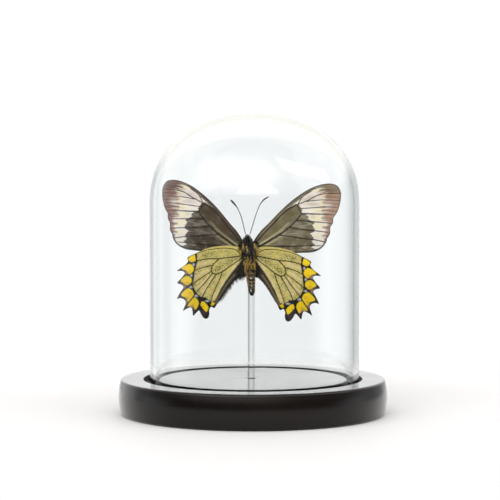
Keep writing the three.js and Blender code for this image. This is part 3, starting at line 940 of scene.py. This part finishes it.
def hindwing_material(name):
    """Olive-gold field, black border with yellow lunules and blue-grey dust, dark inner fold."""
    paint = Paint(name, WING_VALUES)
    field = paint.field
    flow, wing_at = paint.place("flow"), paint.place("wing_at")
    out, up, _ = wing_at.parts()
    grain, soft = scale_texture(paint)
    streaks = flow.noise((0.5, 3.2, 1), 5, 0.65)
    hatch = flow.noise((0.9, 1.9, 1), 3, 0.7)
    cloud = wing_at.noise(0.25)
    wobble = wing_at.noise(2.2, 4, 0.65)
    flecks = wing_at.noise(1.3, 5, 0.7)

    olive = paint.mix(cloud.fade(0.35, 0.65), "#dcc668", "#a8a249")
    olive = olive.over(streaks.fade(0.42, 0.62, 0, 0.85), "#eedc9c")
    olive = olive.over(flecks.fade(0.52, 0.62, 0, 0.8), "#5c4f18")
    olive = olive.over(field("pale_ray") * streaks.fade(0.3, 0.6, 0.3, 0.85), "#f0dca4")
    olive = olive.over(field("speckled") * hatch.fade(0.47, 0.57, 0, 0.9), "#463c12")
    olive = olive.over(up.fade(-2, 3.2) * 0.6, "#decb72")

    band = paint.mix(wobble.fade(0.4, 0.7), "#100c0a", "#2b1e17").over(up.fade(-25.5, -28.5), "#46333a")
    band = band.over(field("blue") * 0.95, "#dfe2f2")
    fold = paint.mix(field("stripe"), "#2c241c", "#75684c")
    band = band.over((out * 1.72 + up).fade(-1.2, -2.6), fold)
    edge = field("field") + wobble.fade(0.3, 0.7, -0.3, 0.3)
    color = band.over(edge.fade(-0.08, 0.22), olive)

    yellow = paint.mix(flecks.fade(0.4, 0.65), "#ffe012", "#ffd014").over(field("orange") * 0.42, "#cf7a18")
    spot = field("yellow") + wobble.fade(0.3, 0.7, -0.16, 0.16)
    color = color.over(spot.fade(-0.1, 0.1), yellow)
    color = color.over(field("pink") * field("rim").fade(2.0, 0.8) * 0.9, "#b08a7c")
    line = (field("vein") + soft.fade(0.3, 0.7, -0.25, 0.25)).fade(1.45, 0.75)
    color = color.over(line * 0.95, "#241b0c")
    rim = (field("rim") + wobble.fade(0.3, 0.7, -0.12, 0.12)).fade(0.42, 0.14)
    rim = rim * field("pink").fade(0.2, 0.7, 1, 0.15) * up.fade(-0.5, 1.0, 1, 0.15)
    color = color.over(rim * 0.9, "#2b211b")
    dusty = grain.fade(0.3, 0.7, 0, 0.2) * spot.fade(-0.1, 0.1, 1.0, 0.25)
    color = color.over(dusty, "#3a3424", "MULTIPLY")
    return finished_wing(paint, color.over(0.42, "#5f5230", "MULTIPLY"), color, grain, streaks)


def make_wings():
    hind = hindwing_material("hindwing_scales")
    # Each side's tones carry painted light: the right forewing lit, the left shaded.
    for side, tone in TONES_WITH_PAINTED_LIGHT.items():
        fore = forewing_material("forewing_scales_" + side, tone)
        make_wing("forewing_" + side, FOREWING_OUTLINE, FOREWING_VEINS, fore, forewing_fields, forewing_shape)
        make_wing("hindwing_" + side, HINDWING_OUTLINE, HINDWING_VEINS, hind, hindwing_fields, hindwing_shape)


# ---------------------------------------------------------------- body


def ball(rows, columns):
    """Directions over a ball, with the faces that join them."""
    angles = np.linspace(0, math.pi, rows + 1)[::-1]
    return turned(np.column_stack([np.sin(angles), np.cos(angles), 0 * angles]), columns)


def lumps(points, scale, seed):
    """Smooth small unevenness between -1 and 1."""
    rng = np.random.default_rng(seed)
    total = np.zeros(len(points))
    for _ in range(7):
        wave = rng.normal(0, scale, 3)
        total += np.sin(points @ wave + rng.uniform(0, 6.3))
    return total / 7


def tube_faces(rings, sides):
    """Quads between rings of points, and fans to the two end points that follow them."""
    k = np.arange(sides)
    after = (k + 1) % sides
    quads = [np.column_stack([i + k, i + after, i + sides + after, i + sides + k])
             for i in range(0, (rings - 1) * sides, sides)]
    first = rings * sides
    end = first - sides
    tips = [np.column_stack([after, k, np.full(sides, first)]),
            np.column_stack([end + k, end + after, np.full(sides, first + 1)])]
    return [np.vstack(quads), np.vstack(tips)]


def route_tube(route, radii, sides):
    """A closed round tube along a route, with one radius for each of its points."""
    route = np.asarray(route, dtype=float)
    ahead = np.gradient(route, axis=0)
    ahead /= np.linalg.norm(ahead, axis=1)[:, None]
    side = np.cross(ahead[0], [0.3, 1, 0.2])
    rings = []
    angles = 2 * math.pi * np.arange(sides)[:, None] / sides
    for point, way, radius in zip(route, ahead, radii):
        side = side - way * (side @ way)
        side /= np.linalg.norm(side)
        rings.append(point + radius * (np.cos(angles) * side + np.sin(angles) * np.cross(way, side)))
    return np.vstack([*rings, route[:1], route[-1:]]), tube_faces(len(route), sides)


def joined(parts):
    """One point list and one face list from several."""
    points = []
    kinds = {}
    count = 0
    for some, faces in parts:
        points.append(some)
        for face in faces:
            kinds.setdefault(face.shape[1], []).append(face + count)
        count += len(some)
    return np.vstack(points), [np.vstack(kind) for kind in kinds.values()]


def strands(roots, ways, lengths, radius, droop):
    """Fine tapered three-sided hairs that leave along their way and bend by droop towards their tip."""
    ways = ways / np.linalg.norm(ways, axis=1)[:, None]
    side = np.cross(ways, [0.31, 0.77, 0.55])
    side /= np.linalg.norm(side, axis=1)[:, None]
    other = np.cross(ways, side)
    stations = (-0.08, 0.38, 0.74)
    count = len(roots)
    layers = []
    for t in stations:
        middle = roots + lengths[:, None] * (t * ways + max(t, 0) ** 2 * droop)
        thick = (radius * (1 - 0.75 * max(t, 0)))[:, None]
        for angle in (0, 2 * math.pi / 3, 4 * math.pi / 3):
            layers.append(middle + thick * (math.cos(angle) * side + math.sin(angle) * other))
    layers.append(roots + lengths[:, None] * (ways + droop))
    points = np.vstack(layers)
    hair = np.arange(count)
    quads = []
    for ring in range(2):
        for k in range(3):
            a, b = ring * 3 + k, ring * 3 + (k + 1) % 3
            quads.append(np.column_stack([a * count + hair, b * count + hair,
                                          (b + 3) * count + hair, (a + 3) * count + hair]))
    tips = [np.column_stack([(6 + k) * count + hair, (6 + (k + 1) % 3) * count + hair, 9 * count + hair])
            for k in range(3)]
    return points, [np.vstack(quads), np.vstack(tips)]


def fur_material(name, dark, gold, buff):
    """Hair in three shades, chosen by each strand's tint."""
    paint = Paint(name, {"Specular IOR Level": 0.05})
    tint = paint.field("tint")
    streak = paint.place().noise(1500, 2)
    color = paint.mix(tint.fade(0.1, 0.5), dark, gold).over(tint.fade(0.55, 0.95), buff)
    color = color.over(streak.fade(0.3, 0.7, 0, 0.45), "#1a130a", "MULTIPLY")
    return paint.finish(color, streak.fade(0.3, 0.7, 0.42, 0.6))


def horn_material(name, dark, light):
    """Dark horny shell: fine grain, paler worn places and a soft gloss."""
    paint = Paint(name, {"Specular IOR Level": 0.2})
    where = paint.place()
    cloud = where.noise(900)
    color = paint.mix(cloud.fade(0.4, 0.75), dark, light)
    return paint.finish(color, cloud.fade(0.3, 0.7, 0.28, 0.45), where.noise(6000, 2).bump(0.02, 0.4))


def eye_material():
    """Dried compound eye: near black with a blue-green glint and fine facets."""
    paint = Paint("compound_eye", {"Specular IOR Level": 0.6})
    where = paint.place()
    facets = paint.add("TexVoronoi", {"Vector": where, "Scale": 9000.0}, "Distance")
    cloud = where.noise(700, 2)
    color = paint.mix(cloud.fade(0.4, 0.7), "#0b0b0c", "#16201f")
    return paint.finish(color, cloud.fade(0.3, 0.7, 0.2, 0.34), facets.bump(0.02, 0.5))


def abdomen_material():
    """Dark rings, gold mottling and orange-brown flanks, pale beads with a painted glint and a painted
    highlight among them, and a plain dark back.
    """
    paint = Paint("abdomen_skin", {"Specular IOR Level": 0.4})
    where = paint.place()
    cloud = where.noise(700, 4, 0.65)
    mottle = where.noise(1300)
    along, around, ring = paint.field("share"), paint.field("turn"), paint.field("ring")
    side = around + cloud.fade(0.3, 0.7, -0.35, 0.35)
    worn = mottle.fade(0.35, 0.6, 0.4, 1)
    flank_left = paint.mix(along.fade(0.45, 0.75), "#b98446", "#7d5f28")
    flank_right = paint.mix(along.fade(0.4, 0.7), "#7a5228", "#856a30")
    gold = along.fade(0.42, 0.3) * mottle.fade(0.5, 0.57) * side.fade(0.15, -0.25)
    color = paint.mix(cloud.fade(0.35, 0.7), "#15110b", "#2c2415").over(gold, "#b0802f")
    color = color.over(side.fade(-0.45, -0.85) * worn, flank_left)
    color = color.over(side.fade(0.75, 1.15) * worn, flank_right)
    color = color.over(ring.fade(0.02, 0.045, 0, 0.6), "#b08f48")
    color = color.over(ring.fade(-0.01, -0.06, 0, 0.8), "#0e0b07")
    color = color.over(along.fade(0.755, 0.785), "#12100d")
    # Pale beads, with a painted glint high up and a painted highlight near the tip.
    color = color.over(paint.field("bead").fade(0.3, 0.75), "#e8e2c8")
    color = color.over(around.math("ABSOLUTE").fade(2.0, 2.5), "#1a150f")
    normal = where.noise(4200, 2).bump(0.03, 0.5, cloud.bump(0.06, 0.4))
    return paint.finish(color, cloud.fade(0.3, 0.7, 0.3, 0.55), normal)


def on_ball(centre, half, turns, rises):
    """Points on an ellipsoid, turned from the front towards +X and raised, in radians."""
    way = np.column_stack([np.cos(rises) * np.sin(turns), -np.cos(rises) * np.cos(turns), np.sin(rises)])
    return centre + way * half, way / half / np.linalg.norm(way / half, axis=1)[:, None]


def make_head(horn):
    """A dark head with two bulging eyes, furry palps between them and a coiled tongue below."""
    way, faces = ball(40, 56)
    size = 1 + 0.04 * lumps(way * 3, 1.6, 11)[:, None]
    skull = HEAD_CENTRE + np.array([0, 0, -0.3]) + way * np.array([1.7, 1.75, 1.75]) * size
    add_piece("head_shell", (skull, faces), horn, "body_fur", "head")
    eyes = []
    palps = []
    for side in (-1, 1):
        centre = HEAD_CENTRE + np.array([side * 1.5, -0.75, -0.75])
        eyes.append((centre + way * np.array([1.0, 1.15, 1.3]), faces))
        bends = [[0.35, -1.5, -1.0], [0.5, -2.0, -0.3], [0.52, -1.9, 0.9], [0.42, -1.3, 1.95]]
        route = HEAD_CENTRE + spline([[side * x, y, z] for x, y, z in bends], 7)
        share = np.linspace(0, 1, len(route))
        palps.append(route_tube(route, 0.28 + 0.2 * np.sin(share * math.pi) ** 0.6 - 0.18 * share, 12))
    eyes.append((BREAST_PLATE + way * np.array([1.0, 0.7, 1.25]) * size, faces))
    add_piece("compound_eyes", joined(eyes), eye_material(), "body_fur")
    turn = np.linspace(0, 2.6 * 2 * math.pi, 110)
    reach = (0.82 - 0.042 * turn) * 0.9
    tongue = np.column_stack([0.012 * turn - 0.1, -1.85 - reach * np.cos(turn), -1.55 + reach * np.sin(turn)])
    palps.append(route_tube(HEAD_CENTRE + tongue, 0.11 - 0.003 * turn, 8))
    add_piece("palps_and_tongue", joined(palps), horn, "dark_horn")


def wing_root(name):
    """The middle of the plate at a forewing's root."""
    return np.array(WINGS[name]["hinge"]) + np.array([-WINGS[name]["side"] * 0.45, -0.4, -1.1])


def make_thorax(horn):
    """An uneven shell with a keel in front, plates at the forewings' roots and a short neck."""
    way, faces = ball(44, 60)
    keel = 0.05 * np.exp(-(way[:, 0] / 0.16) ** 2) * (way[:, 1] < 0)
    size = 0.94 + 0.04 * lumps(way * 3, 1.5, 12) - keel
    shell = THORAX_CENTRE + np.sign(way) * np.abs(way) ** 0.86 * THORAX_HALF * size[:, None]
    add_piece("thorax_shell", (shell, faces), horn, "body_fur", "thorax")
    plates = []
    for name in FOREWINGS:
        size = 1 + 0.08 * lumps(way * 3, 1.5, 15 + WINGS[name]["side"])
        plates.append((wing_root(name) + way * np.array([1.35, 1.15, 2.3]) * size[:, None], faces))
    plates.append((NECK_CENTRE + way * NECK_HALF, faces))
    add_piece("wing_root_plates", joined(plates), horn, "body_fur")


def abdomen_axis(share):
    lean = np.array([math.sin(ABDOMEN_LEAN), 0, -math.cos(ABDOMEN_LEAN)])
    return ABDOMEN_TOP + np.asarray(share)[:, None] * ABDOMEN_LENGTH * lean


def abdomen_radius(share):
    smooth = spline(ABDOMEN_RADII, 8)
    return np.interp(share, smooth[:, 0], smooth[:, 1])


def outward(turns):
    """Level ways out from the abdomen's middle, turned from the front."""
    return np.column_stack([np.sin(turns), -np.cos(turns), np.zeros_like(turns)])


def make_abdomen():
    """Tapered, with a ridge and a groove at each ring and pale beads in front; the bead field also marks a
    painted glint and a painted highlight.
    """
    rows, columns = 150, 64
    share = np.repeat(np.linspace(0, 1, rows), columns)
    turn = np.tile(2 * math.pi * np.arange(columns) / columns - math.pi, rows)
    rings = np.zeros_like(share)
    for edge in SEGMENT_EDGES:
        rings -= 0.085 * np.exp(-((share - edge) / 0.008) ** 2)
        rings += 0.05 * np.exp(-((share - edge + 0.028) / 0.02) ** 2)
    keel = -0.1 * np.exp(-((turn - 0.1) / 0.5) ** 2) * ease(share, 0.05, 0.2) * ease(share, 0.97, 0.8)
    bead = np.zeros_like(share)
    for at, angle, tall, wide in BEADS_AND_GLINTS:
        bead = np.maximum(bead, np.exp(-((share - at) / tall) ** 2 - ((turn - angle) / wide) ** 2))
    front = outward(turn)
    crease = 0.02 * lumps(np.column_stack([front[:, :2] * 3, share * 30]), 1.3, 13)
    radius = abdomen_radius(share) * (0.95 + rings + keel + crease) + 0.13 * bead * (share < 0.8)
    points = np.vstack([abdomen_axis(share) + front * radius[:, None], abdomen_axis([0]), abdomen_axis([1])])
    quads, tips = tube_faces(rows, columns)
    faces = [quads[:, [0, 3, 2, 1]], tips[:, [1, 0, 2]]]
    fields = {"share": share, "turn": turn, "bead": bead, "ring": rings}
    fields = {key: np.concatenate([value, value[[0, -1]]]) for key, value in fields.items()}
    add_piece("abdomen_rings", (points, faces), abdomen_material(), "body_fur", "abdomen", fields=fields)


def tuft_tints(places, rng, tufts, rest):
    """A tint for each hair: pale inside the tufts, dark elsewhere, uneven at their edges."""
    tint = np.full(len(places), 0.0)
    for centre, half, shade in tufts:
        reach = (((places[:, [0, 2]] - centre) / half) ** 2).sum(axis=1)
        hit = np.exp(-reach) > rng.uniform(0.08, 0.55, len(places))
        tint[hit] = shade
    stray = rng.uniform(0, 1, len(places)) < rest
    tint[stray] = np.maximum(tint[stray], 0.5)
    return tint + rng.normal(0, 0.05, len(places))


def clumped(points, ways, rng, clumps, pull):
    """Turns the hairs of each clump towards one shared way."""
    centres = points[rng.choice(len(points), clumps, replace=False)]
    nearest = ((points[:, None, :] - centres[None, :, :]) ** 2).sum(axis=2).argmin(axis=1)
    turn = rng.normal(0, 0.35, (clumps, 3))
    return ways + pull * (turn[nearest] + (centres[nearest] - points) * 0.8)


def make_body_fur(material):
    """Dense fur on the thorax and the root of the abdomen, shorter on the head and along the abdomen."""
    rng = np.random.default_rng(21)
    parts = []
    tints = []

    def all_round(centre, half, count, low, high):
        """Roots over an ellipsoid between two heights, their outward ways, turns and rises."""
        turns = rng.uniform(-math.pi, math.pi, count)
        rises = np.arcsin(rng.uniform(low, high, count))
        return *on_ball(centre, half, turns, rises), turns, rises

    def along_abdomen(count, low, high, depth):
        """Roots on the abdomen between two shares of its length, their outward ways, shares and turns."""
        share = rng.uniform(low, high, count)
        turns = rng.uniform(-math.pi, math.pi, count)
        normal = outward(turns)
        return abdomen_axis(share) + normal * (abdomen_radius(share) * depth)[:, None], normal, share, turns

    def unruly(ways, spread):
        return ways + rng.normal(0, spread, ways.shape)

    def add(roots, ways, lengths, radii, droop, tint):
        """Hairs with lengths and radii between two ends. A tint given as a function is drawn after them."""
        sizes = [rng.uniform(low, high, len(roots)) for low, high in (lengths, radii)]
        parts.append(strands(roots, ways, *sizes, np.array(droop)))
        tints.append(np.tile(tint() if callable(tint) else tint, 10))

    def close_coat(name):
        add_piece(name, joined(parts), material, "body_fur", fields={"tint": np.concatenate(tints)})
        parts.clear()
        tints.clear()

    roots, normal, turns, rises = all_round(THORAX_CENTRE, THORAX_HALF * 0.9, THORAX_HAIRS, -0.98, 0.98)
    comb = np.column_stack([0.25 * np.sin(turns), 0 * turns, -0.85 + 0.3 * np.sin(rises)])
    ways = unruly(clumped(roots, 0.42 * normal + comb, rng, 420, 0.5), 0.12)
    add(roots, ways, (0.8, 1.9), (0.03, 0.05), [0, 0.05, -0.25], tuft_tints(roots, rng, BODY_TUFTS, 0.05))

    for name in FOREWINGS:
        half = np.array([1.3, 1.1, 2.2])
        roots, normal, _, _ = all_round(wing_root(name), half, WING_ROOT_HAIRS, -0.98, 0.98)
        comb = np.array([WINGS[name]["side"] * 0.35, 0, -0.75])
        ways = unruly(clumped(roots, 0.4 * normal + comb, rng, 120, 0.5), 0.15)
        add(roots, ways, (0.7, 1.7), (0.03, 0.05), [0, 0.05, -0.2], tuft_tints(roots, rng, BODY_TUFTS, 0.07))

    turns = rng.uniform(-math.pi, math.pi, NECK_HAIRS)
    roots, normal = on_ball(NECK_CENTRE, NECK_HALF, turns, rng.uniform(-0.3, 1.3, NECK_HAIRS))
    add(roots, unruly(normal, 0.3), (0.4, 0.9), (0.03, 0.045), [0, -0.1, 0.1],
        lambda: tuft_tints(roots, rng, BODY_TUFTS, 0.05))

    for centre, half, shade in BODY_TUFTS + ABDOMEN_TUFTS:
        flat = np.array(centre) + rng.normal(0, 0.55, (HAIRS_PER_TUFT, 2)) * half
        across, lift = (flat - THORAX_CENTRE[[0, 2]]).T / np.array([THORAX_HALF[0], 5.2])[:, None]
        bulge = np.sqrt(np.clip(1 - across ** 2 - lift ** 2, 0.12, 1)) * 0.97
        depth = THORAX_CENTRE[1] - THORAX_HALF[1] * bulge
        tuft = np.column_stack([flat[:, 0], depth, flat[:, 1]])
        ways = np.array([0.12 * np.sign(across.mean()), -0.42, -0.9]) + rng.normal(0, 0.16, tuft.shape)
        add(tuft, ways, (0.8, 1.5), (0.04, 0.065), [0, 0.1, -0.2],
            lambda: shade + rng.normal(0, 0.07, HAIRS_PER_TUFT))
    close_coat("thorax_hairs")

    roots, normal, _, _ = along_abdomen(ABDOMEN_ROOT_HAIRS, 0.0, 0.24, 0.93)
    ways = unruly(clumped(roots, 0.3 * normal + np.array([0.05, 0, -1.0]), rng, 120, 0.45), 0.1)
    add(roots, ways, (0.8, 2.0), (0.03, 0.05), [0, 0.1, -0.1], tuft_tints(roots, rng, ABDOMEN_TUFTS, 0.12))

    roots, normal, share, turns = along_abdomen(ABDOMEN_HAIRS, 0.24, 0.97, 0.95)
    ways = unruly(0.16 * normal + np.array([0.07, 0, -1.0]), 0.08)
    tint = np.where((np.abs(turns) > 0.7) & (share < 0.76), 0.5, 0.0) * (rng.uniform(0, 1, len(roots)) < 0.3)
    add(roots, ways, (0.3, 0.7), (0.018, 0.03), [0, 0, -0.05], tint)

    half = HEAD_HALF * np.array([0.7, 0.85, 0.84])
    roots, normal, _, _ = all_round(HEAD_CENTRE, half, HEAD_HAIRS, -0.9, 0.98)
    ways = unruly(0.7 * normal + np.array([0, -0.1, 0.25]), 0.22)
    kept = (np.abs(roots[:, 0] - HEAD_CENTRE[0]) < 0.8) | (roots[:, 1] > HEAD_CENTRE[1] + 0.3)
    add(roots[kept], ways[kept], (0.35, 0.7), (0.022, 0.036), [0, 0, 0.05],
        lambda: np.abs(rng.normal(0, 0.06, kept.sum())))
    close_coat("head_and_abdomen_hairs")


def make_margin_hairs(material):
    """Soft dark hair along each hindwing's inner fold, longer and ragged on the left."""
    rng = np.random.default_rng(22)
    margin = resampled(spline(INNER_MARGIN, 8), 0.1)
    for side, count, shortest, longest in (("left", 5200, 0.9, 3.4), ("right", 2400, 0.4, 1.1)):
        spot = rng.integers(0, len(margin), count)
        inward = rng.uniform(0, 1, count) ** 1.5 * 3.2
        flat = margin[spot] + inward[:, None] * np.array([0.25, 0.95])
        depth = hindwing_shape(flat) + rng.choice([-0.12, 0.12], count, p=[0.65, 0.35])
        roots = wing_to_world("hindwing_" + side, flat, depth)
        _, out, back, up = wing_frame("hindwing_" + side)
        wisp = (spot + rng.integers(0, 4, count)) // 8
        wisps = wisp.max() + 1
        lean = rng.normal(0, 0.2, count) + rng.normal(0, 0.22, wisps)[wisp]
        near_body = ease(-flat[:, 0], -5.5, -1.0)
        ways = (-0.62 + 0.5 * near_body + lean)[:, None] * out - 0.8 * up
        ways = ways + rng.normal(0, 0.1, count)[:, None] * back
        lengths = rng.uniform(shortest, longest, count) * (0.6 + 0.4 * rng.uniform(0, 1, count))
        lengths = lengths * rng.uniform(0.5, 1.0, wisps)[wisp] * (1 - 0.45 * ease(flat[:, 0], 7, 12.5))
        shape = strands(roots, ways, lengths, rng.uniform(0.014, 0.026, count), np.array([0, 0.02, -0.1]))
        tint = np.tile(np.abs(rng.normal(0, 0.12, count)), 10)
        add_piece("margin_hairs_" + side, shape, material, "hindwing_scales", fields={"tint": tint})


def make_antennae():
    """Ringed shafts that thicken into a slim club."""
    for side, route, club_radius, dark, light in ANTENNAE:
        line = resampled(spline([[x, ANTENNA_Y, z] for x, z in route], 12), ANTENNA_STEP)
        share = np.linspace(0, 1, len(line))
        ringed = 1 + 0.09 * np.sin(share * len(line) * ANTENNA_STEP * 2 * math.pi / 0.42)
        club = ease(share, 0.66, 0.9) * club_radius * np.sqrt(np.clip((1.004 - share) / 0.08, 0, 1))
        tip = np.where(share > 0.97, np.sqrt(np.clip((1 - share) / 0.03, 0.02, 1)), 1)
        shape = route_tube(line, tip * (0.21 - 0.03 * share + club) * ringed, 14)
        name = "antenna_" + side
        material = horn_material("antenna_horn_" + side, dark, light)
        add_piece(name + "_ringed", shape, material, "dark_horn", name)


def over_thorax(turn, rise, lift):
    """A place over the thorax, turned from the front and raised, in degrees."""
    t, r = math.radians(turn), math.radians(rise)
    way = np.array([math.cos(r) * math.sin(t), -math.cos(r) * math.cos(t), math.sin(r)])
    return THORAX_CENTRE + (THORAX_HALF + lift) * way


def make_legs(horn):
    """Six folded legs: thick femur, thinner spined shin and a foot of five small joints."""
    rng = np.random.default_rng(23)
    for side_name, side in (("left", -1), ("right", 1)):
        for pair, bends in LEG_BENDS.items():
            hip, knee, tip = [over_thorax(side * turn, rise, LEG_LIFT) for turn, rise in bends]
            ankle = knee + (tip - knee) * 0.62
            bow = np.array([0, -0.25, 0.1])
            femur = spline([hip, (hip + knee) / 2 + bow, knee], 8)
            shin = spline([knee, (knee + ankle) / 2 - bow * 0.4, ankle], 8)
            foot = resampled(np.array([ankle, tip, tip + (tip - ankle) * 0.35]), 0.05)
            thigh, calf, toes = [np.linspace(0, 1, len(line)) for line in (femur, shin, foot)]
            parts = [route_tube(femur, 0.2 + 0.14 * np.sin(thigh * math.pi), 10)]
            parts.append(route_tube(shin, 0.15 + 0.05 * calf, 10))
            parts.append(route_tube(foot, 0.11 + 0.035 * np.abs(np.sin(toes * math.pi * 5)) - 0.04 * toes, 8))
            picks = shin[rng.integers(0, len(shin), SPINES)]
            ways = (ankle - knee) / np.linalg.norm(ankle - knee) + rng.normal(0, 0.75, (SPINES, 3))
            lengths = rng.uniform(0.35, 0.6, SPINES)
            parts.append(strands(picks, ways, lengths, np.full(SPINES, 0.03), np.zeros(3)))
            name = f"leg_{pair}_{side_name}"
            add_piece(name + "_jointed", joined(parts), horn, "dark_horn", name)


def make_glue():
    """A small clear drop that fixes the butterfly's back to the rod."""
    paint = clear_paint("dried_glue", 1.47, "#efe3bd", 120, 0.05)
    paint.finish(roughness=paint.place().noise(1800, 2).fade(0.5, 0.7, 0.03, 0.25))
    way, faces = ball(28, 36)
    size = 1 + 0.1 * lumps(way * 3, 1.2, 14)
    drop = GLUE_CENTRE + way * GLUE_HALF * size[:, None]
    add_piece("glue_drop", (drop, faces), paint.material, "clear_acrylic")


def make_body():
    horn = horn_material("dark_horn", "#0b0907", "#1d1811")
    make_head(horn)
    make_thorax(horn)
    make_abdomen()
    make_body_fur(fur_material("body_hair", "#070503", "#e6bd4e", "#dcc184"))
    make_margin_hairs(fur_material("fold_hair", "#0e0b0a", "#3a312b", "#6d6257"))
    make_antennae()
    make_legs(horn)
    make_glue()


# ---------------------------------------------------------------- stage, light and camera

CEILING_STRENGTH = 1.08
SOFTBOX_STRENGTH = 4.2
REFLECTOR_STRENGTH = 13.5
WINDOW_STRENGTH = 3.5
FLOOR_RADIUS = 320
FLOOR_Z = -0.05
FOCAL_LENGTH = 151.8
CAMERA_AT = Vector((-1.37, -1000, 135.8))
CAMERA_TILT = math.radians(3.32)


def make_surround():
    """A soft white tent: pale panels all round with grey gaps, and a brighter ceiling."""
    world = bpy.data.worlds.new("white_tent")
    bpy.context.scene.world = world
    nodes = Nodes(world)
    x, y, height = nodes.add("TexCoord", output="Generated").parts()
    azimuth = y.math("ARCTAN2", x)

    def away(centre):
        """Angle from a direction, for directions that don't cross the wrap of the azimuth."""
        return azimuth.math("SUBTRACT", centre).math("ABSOLUTE")

    panels = (azimuth * 8.0).math("COSINE").fade(-0.9, -0.2, 0.7, 1.05)
    panels = panels * y.fade(0.1, -0.55, 1.0, 0.1) * away(0.75).fade(0.34, 0.2, 1.0, 0.42)
    panels = panels * (y.fade(0.6, -0.1, 0.0, -0.7) * height.fade(0.05, 0.12) + 1.0)
    low = panels.math("MAXIMUM", height.fade(-0.138, -0.112, 0.92, 0.0)) * height.fade(0.1, 0.3, 1.0, 0.0)
    above = height.fade(0.1, 0.3)
    veil = y.fade(0.6, -0.1, 0.0, -1.0) * height.fade(0.2, 0.85, 0.7, 0.0)
    ceiling = above * (veil + CEILING_STRENGTH)
    backdrop_top = height.fade(0.075, 0.1) * height.fade(0.3, 0.2)
    backdrop_top = backdrop_top * away(math.pi / 2).fade(0.5, 0.3, 0.0, 0.25)
    softbox = height.fade(0.08, 0.8) * height.fade(1.0, 0.6)
    softbox = softbox * away(-math.pi / 2 - 0.4).fade(1.2, 0.3, 0.0, SOFTBOX_STRENGTH)
    slant = azimuth * 0.41 + height
    window = slant.fade(0.33, 0.37) * slant.fade(0.58, 0.54)
    window = window * away(-0.36).fade(0.5, 0.44, 0.0, WINDOW_STRENGTH)
    reflector = height.fade(-0.14, -0.28) * height.fade(-0.41, -0.3)
    reflector = reflector * y.fade(-0.76, -0.88, 0.0, REFLECTOR_STRENGTH)
    total = low + ceiling + reflector + backdrop_top + softbox + window
    color = nodes.mix(above, (0.975, 0.98, 1.0, 1), (1.0, 0.972, 0.93, 1))
    background = nodes.add("Background", {"Color": color, "Strength": total})
    nodes.set(nodes.tree.nodes.new("ShaderNodeOutputWorld"), "Surface", background)


def make_floor():
    """A pale floor whose rim melts into the tent."""
    paint = Paint("pale_floor", {"Base Color": "#dcdde0", "Roughness": 0.6, "Specular IOR Level": 0.25})
    x, y, _ = paint.place().parts()
    reach = (x * x + y * y).math("SQRT")
    surface = Signal(paint, paint.shader.outputs["BSDF"])
    clear = paint.add("BsdfTransparent")
    melted = paint.add("MixShader", {0: reach.fade(0.09, 0.3), 1: surface, 2: clear})
    paint.set(paint.output, "Surface", melted)
    floor = make_object("floor", turned([[0, FLOOR_Z, 0], [FLOOR_RADIUS, FLOOR_Z, 0]], 96), paint.material)


def make_camera():
    """The camera stands about a metre in front, a little above the dome's middle."""
    data = bpy.data.cameras.new("camera")
    data.lens = FOCAL_LENGTH
    data.sensor_width = 36
    camera = bpy.data.objects.new("camera", data)
    camera.location = CAMERA_AT * MM
    camera.rotation_euler = (math.pi / 2 - CAMERA_TILT, 0, 0)
    bpy.context.scene.collection.objects.link(camera)
    bpy.context.scene.camera = camera


def set_view():
    scene = bpy.context.scene
    scene.view_settings.view_transform = "Standard"
    scene.view_settings.look = "None"
    scene.cycles.max_bounces = 16
    scene.cycles.transmission_bounces = 16
    scene.cycles.use_denoising = True


make_camera()
set_view()
make_surround()
make_floor()
make_base()
make_dome()
make_rod()
make_wings()
make_body()
